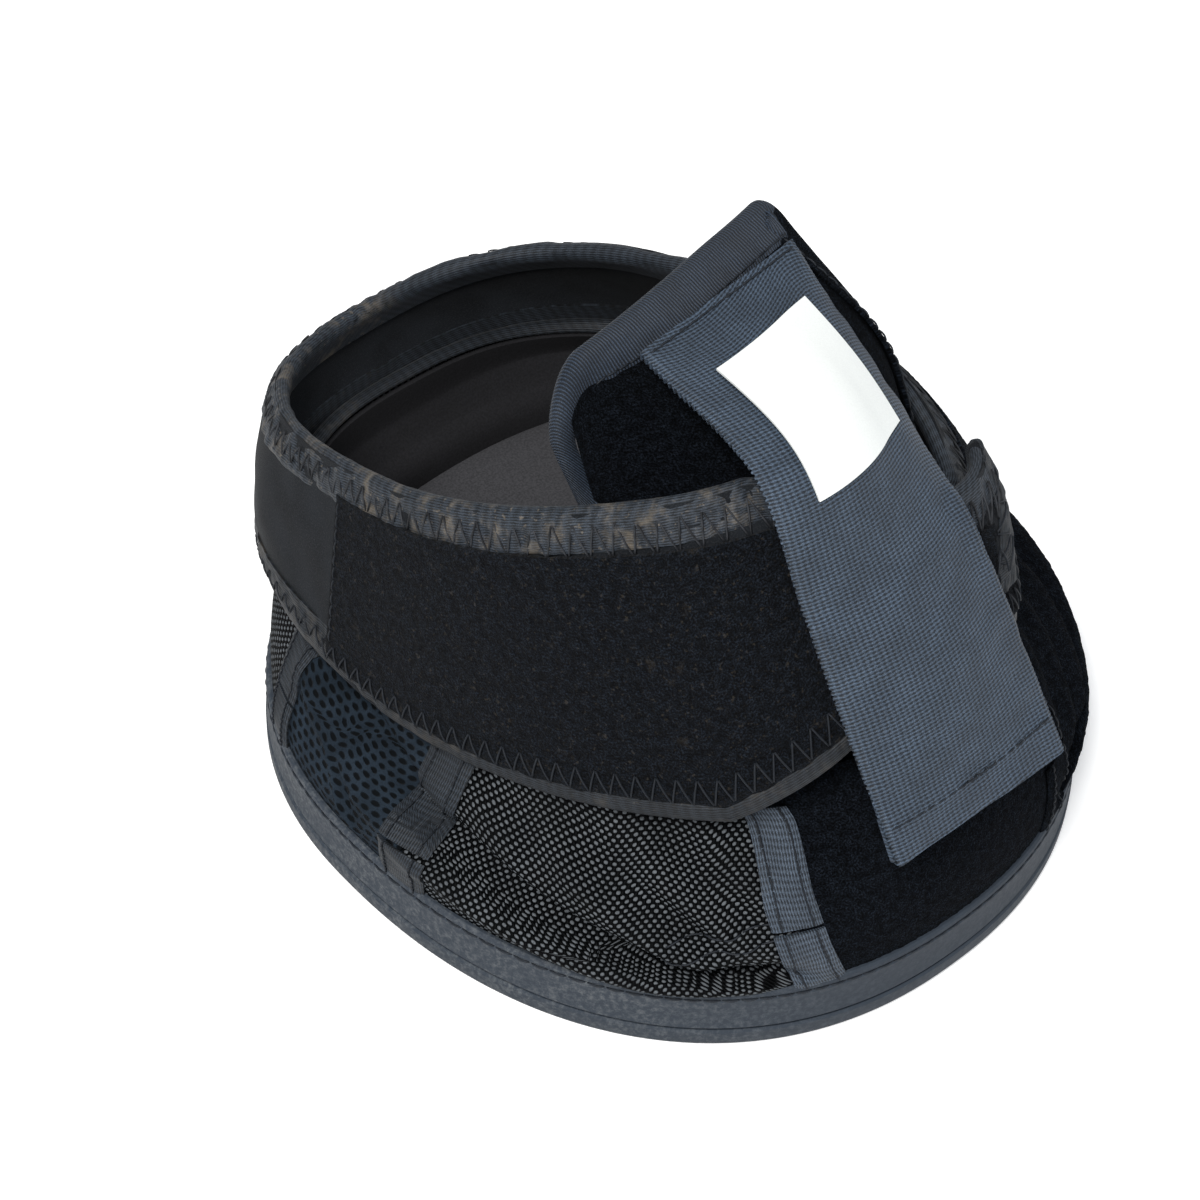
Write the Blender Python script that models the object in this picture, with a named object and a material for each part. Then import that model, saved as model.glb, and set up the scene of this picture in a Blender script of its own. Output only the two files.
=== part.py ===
"""Horse hoof boot: rubber sole, panelled fabric upper, neoprene pastern collar,
padded tongue and a hook strap. Metres, +Z up, toe towards -Y, ground at z = 0."""
import math
from collections import namedtuple

import bmesh
import bpy
from mathutils import Vector

MM = 0.001

# Sole outline, measured from the boot's upright axis
SOLE_HALF_WIDTH = 69.5 * MM
SOLE_FRONT = 80.0 * MM
SOLE_BACK = 62.0 * MM
SOLE_POWER = 2.2

# Sole stack
SOLE_FLANGE_HEIGHT = 4.0 * MM
SOLE_HEIGHT = 7.0 * MM
SOLE_CHAMFER = 1.0 * MM
TREAD_DEPTH = 2.4 * MM
TREAD_GROOVE = 4.0 * MM
TREAD_PITCH = 18.0 * MM
TREAD_MARGIN = 7.0 * MM
TREAD_ROWS = 6
INSOLE_BOARD_THICKNESS = 1.5 * MM
FOAM_THICKNESS = 5.0 * MM
FOAM_CROWN = 1.2 * MM

# Rand round the sole
RAND_HEIGHT = 14.0 * MM
RAND_THICKNESS = 2.6 * MM
RAND_INSET = 0.2 * MM
RAND_BEVEL = 0.8 * MM

# Cloth and neoprene gauges, and the clearance between neighbours
CLEARANCE = 0.3 * MM
SEAM_GAP = 0.4 * MM
HINGE_GAP = 1.0 * MM
PANEL_THICKNESS = 1.2 * MM
LINING_THICKNESS = 1.0 * MM
LINING_GAP = 0.8 * MM
TAPE_WIDTH = 9.0 * MM
TAPE_THICKNESS = 0.8 * MM
NEOPRENE_THICKNESS = 2.5 * MM
EDGE_PINCH = 0.5 * MM
LOOP_THICKNESS = 0.8 * MM
HOOK_THICKNESS = 0.7 * MM
BINDING_LEG = 6.5 * MM
BINDING_THICKNESS = 0.7 * MM

# Upper: seam angles from the toe, at the sole and at the collar
FRONT_SEAM = (math.radians(20), math.radians(35))
REAR_SEAM = (math.radians(80), math.radians(79))
HEEL_SEAM = (math.radians(113), math.radians(113))
ROLL_BULGE = 3.6 * MM
CREASE_BULGE = 2.5 * MM
TOE_BULGE = 2.0 * MM
HEEL_BULGE = 0.9 * MM
ROLL_RISE_ANGLES = (math.radians(20), math.radians(40))
ROLL_FALL_ANGLES = (math.radians(122), math.radians(80))
ROLL_HEIGHT_SHARE = 0.26
CREASE_HEIGHT_SHARE = 0.59
UPPER_TUCK_DROP = 1.4 * MM
UPPER_TUCK_DROP_SHARE = 0.06
UPPER_TUCK_RISE = 5.0 * MM
PIPING_HEIGHT = 2.0 * MM
PIPING_START_TURN = math.radians(7)

# Collar: lower and upper edge rings
COLLAR_LOW_CENTRE = 5.0 * MM
COLLAR_LOW_HEIGHT = 32.5 * MM
COLLAR_LOW_HALF_WIDTH = 57.0 * MM
COLLAR_LOW_FRONT = 77.0 * MM
COLLAR_LOW_BACK = 66.0 * MM
COLLAR_TOP_CENTRE = 16.0 * MM
COLLAR_TOP_HEIGHT = 70.0 * MM
COLLAR_TOP_HALF_WIDTH = 40.0 * MM
COLLAR_LEAN = 6.0 * MM
COLLAR_TOP_FRONT = 52.0 * MM
COLLAR_TOP_BACK = 57.0 * MM
COLLAR_POWER = 2.0
COLLAR_BACK_POWER = 2.6
COLLAR_LOW_SLOPE = 0.215
COLLAR_LOW_BACK_SLOPE = 0.13
COLLAR_TOP_SLOPE = 0.47
COLLAR_TOP_BACK_SLOPE = 0.41
COLLAR_BELLY = 2.8 * MM
BELLY_FULL_ANGLE = math.radians(127)
SHOULDER_BULGE = 7.0 * MM
SHOULDER_ANGLES = (math.radians(18), math.radians(40), math.radians(48), math.radians(78))
SHOULDER_REACH_SHARE = 0.8

# Bands of the collar
BAND_ROOT_ANGLE = math.radians(104)
NEAR_BAND_END = math.radians(-38)
FAR_BAND_END = math.radians(-8)
NEAR_BAND_LIFT = 3.0 * MM
FAR_BAND_SINK = 2.5 * MM
LIFT_START_ANGLE = math.radians(46)
LIFT_FULL_ANGLE = math.radians(14)
SINK_START_ANGLE = math.radians(70)
SINK_FULL_ANGLE = math.radians(38)
BAND_CORNER_ANGLE = math.radians(37)
BAND_RISE_ANGLE = math.radians(6)
BAND_RISE_SHARE = 0.27
BAND_DROP_SHARE = 0.38
NEAR_DROP_ANGLES = (math.radians(16), math.radians(-20))
FAR_DROP_ANGLES = (math.radians(72), math.radians(36))
HOOK_PATCH_LENGTH = 24.0 * MM
PATCH_INSET_SHARE = 1.2
HOOK_INSET_SHARE = 1.3

# Tongue
TONGUE_HALF_WIDTH = 29.25 * MM
TONGUE_CENTRE_X = -2.75 * MM
TONGUE_DEPTH = 6.8 * MM
TONGUE_CORE_THICKNESS = 3.5 * MM
TONGUE_CORE_EDGE = 1.6 * MM
TONGUE_BASE_SHARE = 0.1
TONGUE_NEAR_ANGLES = (math.radians(38), math.radians(51))
TONGUE_FAR_ANGLES = (math.radians(-36), math.radians(-54))
TONGUE_TOP_Y = 0.0 * MM
TONGUE_TOP_RISE = 32.4 * MM
TONGUE_SKEW_SHARE = 0.246
TONGUE_TILT_SHARE = -0.08
TONGUE_CORNER_REACH = 12.0 * MM
TONGUE_CORNER_DROP = 5.0 * MM
TONGUE_FAR_CORNER_DROP = 1.5 * MM

# Strap, 38 mm hook webbing
STRAP_WIDTH = 38.0 * MM
STRAP_THICKNESS = 1.6 * MM
STRAP_TOP_X = 2.5 * MM
STRAP_END_X = -0.5 * MM
STRAP_SEAM_REACH = 8.2 * MM
STRAP_SEAM_RISE = 0.6 * MM
STRAP_SKEW_SHARE = 0.146
STRAP_TILT_SHARE = -0.045
STRAP_SAG = 8.0 * MM
STRAP_LEVELS = (1.05, 0.6, 0.2)
STRAP_END_REACH = 10.0 * MM
STRAP_END_DROP = 18.0 * MM
STRAP_FOLD_LENGTH = 9.0 * MM
STRAP_PATCH_INSET = 2.0 * MM
LABEL_WIDTH = 24.0 * MM
LABEL_THICKNESS = 0.4 * MM
LABEL_START_SHARE = 0.09
LABEL_END_SHARE = 0.335

# Mesh counts
RING_STEPS = 48
STRAP_STEPS = 24
TINY_SHARE = 0.001
FITTING_ROUNDS = 4

Ring = namedtuple("Ring", "lean centre height half_width front back slope back_slope power back_power")

COLLAR_LOW = Ring(
    0.0, COLLAR_LOW_CENTRE, COLLAR_LOW_HEIGHT, COLLAR_LOW_HALF_WIDTH, COLLAR_LOW_FRONT,
    COLLAR_LOW_BACK, COLLAR_LOW_SLOPE, COLLAR_LOW_BACK_SLOPE, COLLAR_POWER, COLLAR_BACK_POWER)
COLLAR_TOP = Ring(
    COLLAR_LEAN, COLLAR_TOP_CENTRE, COLLAR_TOP_HEIGHT, COLLAR_TOP_HALF_WIDTH, COLLAR_TOP_FRONT,
    COLLAR_TOP_BACK, COLLAR_TOP_SLOPE, COLLAR_TOP_BACK_SLOPE, COLLAR_POWER, COLLAR_BACK_POWER)


# Curves and surfaces


def smooth_step(start, end, value):
    """0 at start, 1 at end, easing in and out; start may be above end."""
    share = min(max((value - start) / (end - start), 0.0), 1.0)
    return share * share * (3 - 2 * share)


def turn_from_toe(theta):
    """Size of an angle from the toe, 0 to pi on either side."""
    return abs((theta + math.pi) % (2 * math.pi) - math.pi)


def ring_point(ring, theta):
    """Point of a ring at an angle from the toe, turning towards -X."""
    s, c = math.sin(theta), math.cos(theta)
    power = ring.power if c > 0 else ring.back_power
    reach = ring.front if c > 0 else ring.back
    slope = ring.slope if c > 0 else ring.back_slope
    radius = (abs(s) ** power + abs(c) ** power) ** (-1 / power)
    along = reach * radius * c
    x = -ring.lean - ring.half_width * radius * s
    return Vector((x, ring.centre - along, ring.height + slope * along))


def sole_ring(inset, height):
    """Level ring inside the sole outline."""
    return Ring(
        0.0, 0.0, height, SOLE_HALF_WIDTH - inset, SOLE_FRONT - inset, SOLE_BACK - inset,
        0.0, 0.0, SOLE_POWER, SOLE_POWER)


def outward(theta):
    """Level unit vector away from the boot's middle at an angle."""
    point = ring_point(sole_ring(0.0, 0.0), theta)
    return point.normalized()


def held(tangent, length):
    """Tangent cut down to a length, so that a curve doesn't overshoot a short stretch."""
    return tangent * min(length / max(tangent.length, TINY_SHARE * MM), 1.0)


def smooth_chain(points, position):
    """Point of a smooth curve through points; position counts from 0 in whole points."""
    last = len(points) - 1
    index = min(max(int(math.floor(position)), 0), last - 1)
    share = position - index
    before = points[index - 1] if index > 0 else points[0] * 2 - points[1]
    after = points[index + 2] if index + 2 <= last else points[last] * 2 - points[last - 1]
    start, end = points[index], points[index + 1]
    length = (end - start).length
    rise = held((end - before) / 2, length)
    fall = held((after - start) / 2, length)
    a = 2 * share ** 3 - 3 * share ** 2 + 1
    b = share ** 3 - 2 * share ** 2 + share
    d = share ** 3 - share ** 2
    return start * a + rise * b + end * (1 - a) + fall * d


def collar(theta, v):
    """Outer face of the collar, v = 0 at its lower edge and 1 at its upper edge."""
    low = ring_point(COLLAR_LOW, theta)
    top = ring_point(COLLAR_TOP, theta)
    belly = COLLAR_BELLY * smooth_step(BAND_ROOT_ANGLE, BELLY_FULL_ANGLE, turn_from_toe(theta))
    start, full, ease, stop = SHOULDER_ANGLES
    far_turn = (-theta) % (2 * math.pi)
    shoulder = SHOULDER_BULGE * smooth_step(start, full, far_turn) * smooth_step(stop, ease, far_turn)
    swell = math.sin(math.pi * v) * belly + math.sin(math.pi * SHOULDER_REACH_SHARE * v) * shoulder
    return low.lerp(top, v) + outward(theta) * swell


def cone(theta, v):
    """Straight-sided surface between the collar's edge rings."""
    return ring_point(COLLAR_LOW, theta).lerp(ring_point(COLLAR_TOP, theta), v)


def band_height(theta):
    return (collar(theta, 1.0) - collar(theta, 0.0)).length


def surface_normal(surface, a, b, side):
    """Unit normal of a surface by small steps; side is 1 or -1."""
    along_a = surface(a + TINY_SHARE, b) - surface(a - TINY_SHARE, b)
    along_b = surface(a, b + TINY_SHARE) - surface(a, b - TINY_SHARE)
    return along_b.cross(along_a).normalized() * side


def offset_point(surface, a, b, distance, side=1):
    """Point a distance outside the surface."""
    return surface(a, b) + surface_normal(surface, a, b, side) * distance


def travel_for(surface, a, b, step, length):
    """Parameter travel from (a, b) along step that reaches a straight length away."""
    start = surface(a, b)
    travel = TINY_SHARE
    for _ in range(FITTING_ROUNDS):
        point = surface(a + step[0] * travel, b + step[1] * travel)
        travel *= length / (point - start).length
    return travel


def upper_sink(theta):
    """How far the upper lies inside the collar's outer face."""
    under_binding = NEOPRENE_THICKNESS - EDGE_PINCH + 2 * CLEARANCE + BINDING_THICKNESS + CLEARANCE
    front = smooth_step(SINK_START_ANGLE, SINK_FULL_ANGLE, turn_from_toe(theta))
    return under_binding + FAR_BAND_SINK * front


def upper_rows(theta):
    """Points up the outer face of the upper at an angle."""
    inset = RAND_INSET + RAND_THICKNESS + SEAM_GAP
    foot = ring_point(sole_ring(inset, SOLE_FLANGE_HEIGHT + CLEARANCE), theta)
    lip = ring_point(sole_ring(inset, RAND_HEIGHT + SEAM_GAP), theta)
    height = band_height(theta)
    drop = UPPER_TUCK_DROP + UPPER_TUCK_DROP_SHARE * (collar(theta, 0.0).z - lip.z)
    tuck = offset_point(cone, theta, -drop / height, -upper_sink(theta))
    rim = offset_point(cone, theta, UPPER_TUCK_RISE / height, -upper_sink(theta))
    turn = turn_from_toe(theta)
    side = smooth_step(*ROLL_RISE_ANGLES, turn) * smooth_step(*ROLL_FALL_ANGLES, turn)
    plain = TOE_BULGE if turn < math.pi / 2 else HEEL_BULGE
    roll = lip.lerp(tuck, ROLL_HEIGHT_SHARE)
    roll += outward(theta) * (plain + (ROLL_BULGE - plain) * side)
    crease = lip.lerp(tuck, CREASE_HEIGHT_SHARE)
    crease += outward(theta) * (plain + (CREASE_BULGE - plain) * side)
    return [foot, lip, roll, crease, tuck, rim]


def far_upper(theta, v):
    """Outer face of the upper on its far side, by angles towards +X."""
    return upper(-theta, v)


def upper(theta, v):
    """Outer face of the upper; v counts its six rows from 0 to 5."""
    return smooth_chain(upper_rows(theta), v)


def near_lift(theta):
    return NEAR_BAND_LIFT * smooth_step(LIFT_START_ANGLE, LIFT_FULL_ANGLE, theta)


def near_face(theta, v):
    """Outer face of the near band, which laps over the far one."""
    return offset_point(collar, theta, v, near_lift(theta))


def far_face(theta, v):
    """Outer face of the far band, by angles towards +X."""
    sink = FAR_BAND_SINK * smooth_step(SINK_START_ANGLE, SINK_FULL_ANGLE, theta)
    return offset_point(collar, -theta, v, -sink)


def over_collar(x, v, offset):
    """Point at a side place x, a distance outside the collar's front."""
    half = COLLAR_LOW.half_width + (COLLAR_TOP.half_width - COLLAR_LOW.half_width) * v
    theta = -math.asin((x + COLLAR_LEAN * v) / (half + offset))
    return offset_point(collar, theta, v, offset)


def top_line(x):
    """Straight top line of the tongue, skewed and tilted with the pastern."""
    height = COLLAR_TOP_HEIGHT + TONGUE_TOP_RISE
    return Vector((x, TONGUE_TOP_Y + TONGUE_SKEW_SHARE * x, height + TONGUE_TILT_SHARE * x))


def seam_line(x):
    """Line on which the strap is sewn to the tongue, just in front of the tongue's top."""
    middle = top_line(0.0)
    y = middle.y - STRAP_SEAM_REACH + STRAP_SKEW_SHARE * x
    return Vector((x, y, middle.z + STRAP_SEAM_RISE + STRAP_TILT_SHARE * x))


TONGUE_LEVELS = (TONGUE_BASE_SHARE, 0.4, 0.7, 1.0)
TONGUE_ROWS = len(TONGUE_LEVELS)


def tongue_rows(s):
    """Points up the tongue's outer face at a share of its half width."""
    rows = []
    for v in TONGUE_LEVELS:
        near = TONGUE_NEAR_ANGLES[0] + (TONGUE_NEAR_ANGLES[1] - TONGUE_NEAR_ANGLES[0]) * v
        far = TONGUE_FAR_ANGLES[0] + (TONGUE_FAR_ANGLES[1] - TONGUE_FAR_ANGLES[0]) * v
        theta = near + (far - near) * (s + 1) / 2
        rows.append(offset_point(collar, theta, v, -TONGUE_DEPTH))
    return rows + [top_line(TONGUE_CENTRE_X + s * TONGUE_HALF_WIDTH)]


def tongue(s, t):
    """Outer face of the tongue, s across from -X to +X and t up from its base."""
    return smooth_chain(tongue_rows(s), t)


def strap_stand():
    """Height of the strap's outer face over the collar where it lies on the near band."""
    layers = LOOP_THICKNESS + HOOK_THICKNESS + STRAP_THICKNESS
    return NEAR_BAND_LIFT + layers + 4 * CLEARANCE


def strap_rows(s):
    """Points down the strap's outer face at a share of its half width, from the tongue's top."""
    top_x = STRAP_TOP_X + s * STRAP_WIDTH / 2
    end_x = STRAP_END_X + s * STRAP_WIDTH / 2
    rows = [seam_line(top_x)]
    for index, v in enumerate(STRAP_LEVELS):
        share = (index + 1) / (len(STRAP_LEVELS) + 1)
        sag = STRAP_SAG * ((s + 1) / 2) ** 2 if index == 0 else 0.0
        rows.append(over_collar(top_x + (end_x - top_x) * share, v, strap_stand() - sag))
    end = over_collar(STRAP_END_X, STRAP_LEVELS[-1], strap_stand())
    rows.append(Vector((end_x, end.y - STRAP_END_REACH, end.z - STRAP_END_DROP)))
    return rows


def strap(s, t):
    """Outer face of the strap, s across and t from 0 at its seam to 1 at its end."""
    rows = strap_rows(s)
    return smooth_chain(rows, t * (len(rows) - 1))


# Mesh building


def make_material(name, colour, roughness, metallic=0.0):
    material = bpy.data.materials.get(name) or bpy.data.materials.new(name)
    material.use_nodes = True
    shader = material.node_tree.nodes["Principled BSDF"]
    shader.inputs["Base Color"].default_value = (*colour, 1.0)
    shader.inputs["Roughness"].default_value = roughness
    shader.inputs["Metallic"].default_value = metallic
    material.diffuse_color = (*colour, 1.0)
    return material


def add_object(name, mesh_builder, material, pivot=None):
    """Close a bmesh into an object with its faces pointing out."""
    bmesh.ops.recalc_face_normals(mesh_builder, faces=mesh_builder.faces)
    if mesh_builder.calc_volume(signed=True) < 0:
        bmesh.ops.reverse_faces(mesh_builder, faces=mesh_builder.faces)
    mesh = bpy.data.meshes.new(name)
    mesh_builder.to_mesh(mesh)
    mesh_builder.free()
    mesh.materials.append(material)
    mesh.shade_smooth()
    mesh.set_sharp_from_angle(angle=math.radians(35))
    obj = bpy.data.objects.new(name, mesh)
    bpy.context.collection.objects.link(obj)
    if pivot:
        obj.parent = pivot
        obj.matrix_parent_inverse = pivot.matrix_world.inverted()
    return obj


def add_pivot(name, place, parent=None):
    """Empty on a joint's axis."""
    pivot = bpy.data.objects.new(name, None)
    pivot.location = place
    bpy.context.collection.objects.link(pivot)
    bpy.context.view_layer.update()
    if parent:
        pivot.parent = parent
        pivot.matrix_parent_inverse = parent.matrix_world.inverted()
        bpy.context.view_layer.update()
    return pivot


def split_evenly(build):
    """Split quads along their shorter diagonal, so that nested shells are faceted alike."""
    bmesh.ops.triangulate(build, faces=build.faces, quad_method="SHORT_EDGE")
    return build


def skin_between(outer, inner, around=False):
    """Closed shell between two grids of points; around joins the last column to the first."""
    build = bmesh.new()
    faces = [[build.verts.new(p) for p in column] for column in outer]
    backs = [[build.verts.new(p) for p in column] for column in inner]
    columns = len(outer)
    rows = len(outer[0])
    steps = columns if around else columns - 1
    for i in range(steps):
        k = (i + 1) % columns
        for j in range(rows - 1):
            build.faces.new((faces[i][j], faces[k][j], faces[k][j + 1], faces[i][j + 1]))
            build.faces.new((backs[i][j], backs[i][j + 1], backs[k][j + 1], backs[k][j]))
        for j in (0, rows - 1):
            build.faces.new((faces[i][j], faces[k][j], backs[k][j], backs[i][j]))
    if not around:
        for i in (0, columns - 1):
            for j in range(rows - 1):
                build.faces.new((faces[i][j], faces[i][j + 1], backs[i][j + 1], backs[i][j]))
    return split_evenly(build)


def sweep(sections, caps=None):
    """Closed body through sections of points; caps lists faces of an end, None joins the ends."""
    build = bmesh.new()
    loops = [[build.verts.new(p) for p in section] for section in sections]
    count = len(sections)
    size = len(sections[0])
    for i in range(count if caps is None else count - 1):
        k = (i + 1) % count
        for j in range(size):
            m = (j + 1) % size
            build.faces.new((loops[i][j], loops[k][j], loops[k][m], loops[i][m]))
    for face in caps or ():
        for loop in (loops[0], loops[-1]):
            build.faces.new([loop[j] for j in face])
    return split_evenly(build)


def spread(start, end, count):
    """Evenly spaced values from start to end."""
    return [start + (end - start) * i / (count - 1) for i in range(count)]


def ring_angles():
    return [2 * math.pi * i / RING_STEPS for i in range(RING_STEPS)]


U_CAPS = ((0, 1, 6, 7), (1, 2, 5, 6), (2, 3, 4, 5))


def edge_sections(surface, stations, step, outer, inner, side=1):
    """U sections of a binding that wraps a surface's edge at stations (a, b).

    step points inwards in (a, b); outer and inner are the offsets of the binding's two faces.
    """
    wrap = CLEARANCE + BINDING_THICKNESS
    gauge = BINDING_THICKNESS
    sections = []
    for a, b in stations:
        edge = surface(a, b)
        tiny = surface(a + step[0] * TINY_SHARE, b + step[1] * TINY_SHARE)
        inward = (tiny - edge).normalized()
        normal = surface_normal(surface, a, b, side)
        reach = travel_for(surface, a, b, step, BINDING_LEG)
        leg = (a + step[0] * reach, b + step[1] * reach)
        section = []
        for width, depth in (
                (None, outer), (-wrap, outer), (-wrap, inner), (None, inner),
                (None, inner + gauge), (gauge - wrap, inner + gauge),
                (gauge - wrap, outer - gauge), (None, outer - gauge)):
            if width is None:
                section.append(offset_point(surface, leg[0], leg[1], depth, side))
            else:
                section.append(edge + inward * width + normal * depth)
        sections.append(section)
    return sections


# Sole, rand and insole


def profile_ring(profile):
    """Sections of a body turned round the sole outline from (inset, height) pairs."""
    return [
        [ring_point(sole_ring(inset, height), theta) for inset, height in profile]
        for theta in ring_angles()]


def capped_disc(profile):
    """Solid disc round the sole outline, closed by a flat face at either end of its profile."""
    build = bmesh.new()
    loops = [
        [build.verts.new(ring_point(sole_ring(inset, height), theta)) for theta in ring_angles()]
        for inset, height in profile]
    for low, high in zip(loops, loops[1:]):
        for i in range(RING_STEPS):
            k = (i + 1) % RING_STEPS
            build.faces.new((low[i], low[k], high[k], high[i]))
    build.faces.new(loops[0])
    build.faces.new(loops[-1])
    return build


def lining_inset():
    """Inset of the room inside the lining at the sole."""
    cloth = PANEL_THICKNESS + LINING_GAP + LINING_THICKNESS
    return RAND_INSET + RAND_THICKNESS + SEAM_GAP + cloth + SEAM_GAP


def tread_cutter(length, width, y):
    """Box that cuts one cross groove of the tread."""
    build = bmesh.new()
    bmesh.ops.create_cube(build, size=1.0)
    for vert in build.verts:
        vert.co.x *= length
        vert.co.y = vert.co.y * width + y
        vert.co.z *= 2 * TREAD_DEPTH
    return build


def make_outsole(rubber):
    inset = lining_inset()
    disc = capped_disc((
        (SOLE_CHAMFER, 0.0), (0.0, SOLE_CHAMFER), (0.0, SOLE_FLANGE_HEIGHT),
        (inset, SOLE_FLANGE_HEIGHT), (inset, SOLE_HEIGHT)))
    sole = add_object("outsole", disc, rubber)
    for row in range(TREAD_ROWS):
        y = (row - (TREAD_ROWS - 1) / 2) * TREAD_PITCH
        reach = SOLE_FRONT if y < 0 else SOLE_BACK
        half = SOLE_HALF_WIDTH * math.sqrt(max(1 - (y / reach) ** 2, 0.0)) - TREAD_MARGIN
        cutter = add_object("groove_cutter", tread_cutter(2 * half, TREAD_GROOVE, y), rubber)
        cutter.hide_render = True
        cutter.display_type = "WIRE"
        cut = sole.modifiers.new("groove", "BOOLEAN")
        cut.operation = "DIFFERENCE"
        cut.solver = "EXACT"
        cut.object = cutter


def make_rand(rubber):
    outer = RAND_INSET
    inner = RAND_INSET + RAND_THICKNESS
    low = SOLE_FLANGE_HEIGHT + CLEARANCE
    profile = (
        (outer, low), (outer, RAND_HEIGHT - RAND_BEVEL), (outer + RAND_BEVEL, RAND_HEIGHT),
        (inner, RAND_HEIGHT), (inner, low))
    add_object("rand", sweep(profile_ring(profile)), rubber)


def make_insole(board, foam):
    inset = lining_inset()
    low = SOLE_HEIGHT + CLEARANCE
    high = low + INSOLE_BOARD_THICKNESS
    add_object("insole_board", capped_disc(((inset, low), (inset, high))), board)
    base = high + CLEARANCE
    brim = base + FOAM_THICKNESS - FOAM_CROWN
    crown = inset + FOAM_THICKNESS
    disc = capped_disc((
        (inset, base), (inset, brim), (inset + FOAM_CROWN, base + FOAM_THICKNESS),
        (crown, base + FOAM_THICKNESS)))
    add_object("foam_insole", disc, foam)


# Upper


def upper_shell(start, end, columns, rows, outer, inner, face=upper, side=1):
    """Shell of the upper between two slanted seams; outer and inner are offsets."""
    top = len(upper_rows(0.0)) - 1
    grids = []
    for offset in (outer, inner):
        grid = []
        for share in spread(0.0, 1.0, columns):
            column = []
            for v in rows:
                slant = v / top
                low = start[0] + (start[1] - start[0]) * slant
                high = end[0] + (end[1] - end[0]) * slant
                column.append(offset_point(face, low + (high - low) * share, v, offset, side))
            grid.append(column)
        grids.append(grid)
    return skin_between(*grids)


def shifted(seam, angle):
    return (seam[0] + angle, seam[1] + angle)


def opposite(seam):
    return (-seam[0], -seam[1])


PANEL_ROWS = (0.0, 1.0, 1.4, 1.8, 2.2, 2.6, 3.0, 3.5, 4.0, 5.0)
LINING_ROWS = (0.0, 1.0, 4.0, 5.0)
UPPER_SIDES = (("near", upper, 1), ("far", far_upper, -1))


def make_panels(loop, ballistic, mesh):
    gap = SEAM_GAP / SOLE_HALF_WIDTH / 2
    toe = upper_shell(
        shifted(opposite(FRONT_SEAM), gap), shifted(FRONT_SEAM, -gap), 7, PANEL_ROWS,
        0.0, -PANEL_THICKNESS)
    add_object("toe_panel", toe, loop)
    for name, face, side in UPPER_SIDES:
        front = upper_shell(
            shifted(FRONT_SEAM, gap), shifted(REAR_SEAM, -gap), 9, PANEL_ROWS,
            0.0, -PANEL_THICKNESS, face, side)
        add_object(name + "_side_panel", front, ballistic)
        vent = upper_shell(
            shifted(REAR_SEAM, gap), shifted(HEEL_SEAM, -gap), 6, PANEL_ROWS,
            0.0, -PANEL_THICKNESS, face, side)
        add_object(name + "_mesh_panel", vent, mesh)
    whole = (2 * math.pi, 2 * math.pi)
    far_seam = (whole[0] - HEEL_SEAM[0], whole[1] - HEEL_SEAM[1])
    heel = upper_shell(
        shifted(HEEL_SEAM, gap), shifted(far_seam, -gap), 17, PANEL_ROWS,
        0.0, -PANEL_THICKNESS)
    add_object("heel_panel", heel, ballistic)


def make_tapes(webbing):
    """Seam tapes over the joins between panels, each in a lower and an upper length."""
    half = TAPE_WIDTH / SOLE_HALF_WIDTH / 2
    inner = CLEARANCE
    outer = CLEARANCE + TAPE_THICKNESS
    lengths = (("lower", (1.6, 1.9, 2.2, 2.5)), ("upper", (2.6, 2.9, 3.2, 3.5, 3.7)))
    for seam_name, seam in (("front", FRONT_SEAM), ("rear", REAR_SEAM), ("heel", HEEL_SEAM)):
        for name, face, side in UPPER_SIDES:
            for length_name, rows in lengths:
                tape = upper_shell(
                    shifted(seam, -half), shifted(seam, half), 3, rows, outer, inner, face, side)
                add_object("_".join((name, seam_name, length_name, "tape")), tape, webbing)


def make_lining(cloth):
    outer = -PANEL_THICKNESS - LINING_GAP
    inner = outer - LINING_THICKNESS
    grids = [
        [[offset_point(upper, theta, v, offset) for v in LINING_ROWS] for theta in ring_angles()]
        for offset in (outer, inner)]
    add_object("lining", skin_between(*grids, around=True), cloth)


def make_top_piping(binding):
    """Piping on the upper's top edge, left open where the tongue rises from the toe."""
    height = PIPING_HEIGHT
    depth = PANEL_THICKNESS + LINING_GAP + LINING_THICKNESS
    start = BAND_CORNER_ANGLE + PIPING_START_TURN
    sections = []
    for theta in [a for a in ring_angles() if start < a < 2 * math.pi - start]:
        rim = upper(theta, 5.0)
        normal = surface_normal(upper, theta, 5.0 - TINY_SHARE, 1)
        rise = (rim - upper(theta, 4.0)).normalized()
        base = rim + rise * SEAM_GAP
        crown = base + rise * height - normal * depth / 2
        sections.append([base, base + rise * height / 2, crown,
                         base - normal * depth + rise * height / 2, base - normal * depth])
    add_object("upper_top_piping", sweep(sections, ((0, 1, 2, 3, 4),)), binding)


# Collar and its two bands


def near_top(theta):
    """Upper edge of the near band, which runs down towards its end."""
    return 1 - BAND_DROP_SHARE * smooth_step(*NEAR_DROP_ANGLES, theta)


def far_top(theta):
    """Upper edge of the far band, which stays hidden under the near one."""
    return 1 - BAND_DROP_SHARE * smooth_step(*FAR_DROP_ANGLES, theta)


def whole_edge(theta):
    return 1.0


def flat_edge(theta):
    return 0.0


def band_low(theta):
    """Lower edge of a band: it turns up at a corner before the front."""
    share = (BAND_CORNER_ANGLE - theta) / (BAND_CORNER_ANGLE - BAND_RISE_ANGLE)
    return BAND_RISE_SHARE * min(max(share, 0.0), 1.0)


def band_angles(start, end, corner):
    """Angles along a band with one exactly at its corner."""
    count = max(int(round((start - corner) / (2 * math.pi / RING_STEPS))), 1)
    rest = max(int(round((corner - end) / (2 * math.pi / RING_STEPS))), 1)
    return spread(start, corner, count + 1) + spread(corner, end, rest + 1)[1:]


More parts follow.
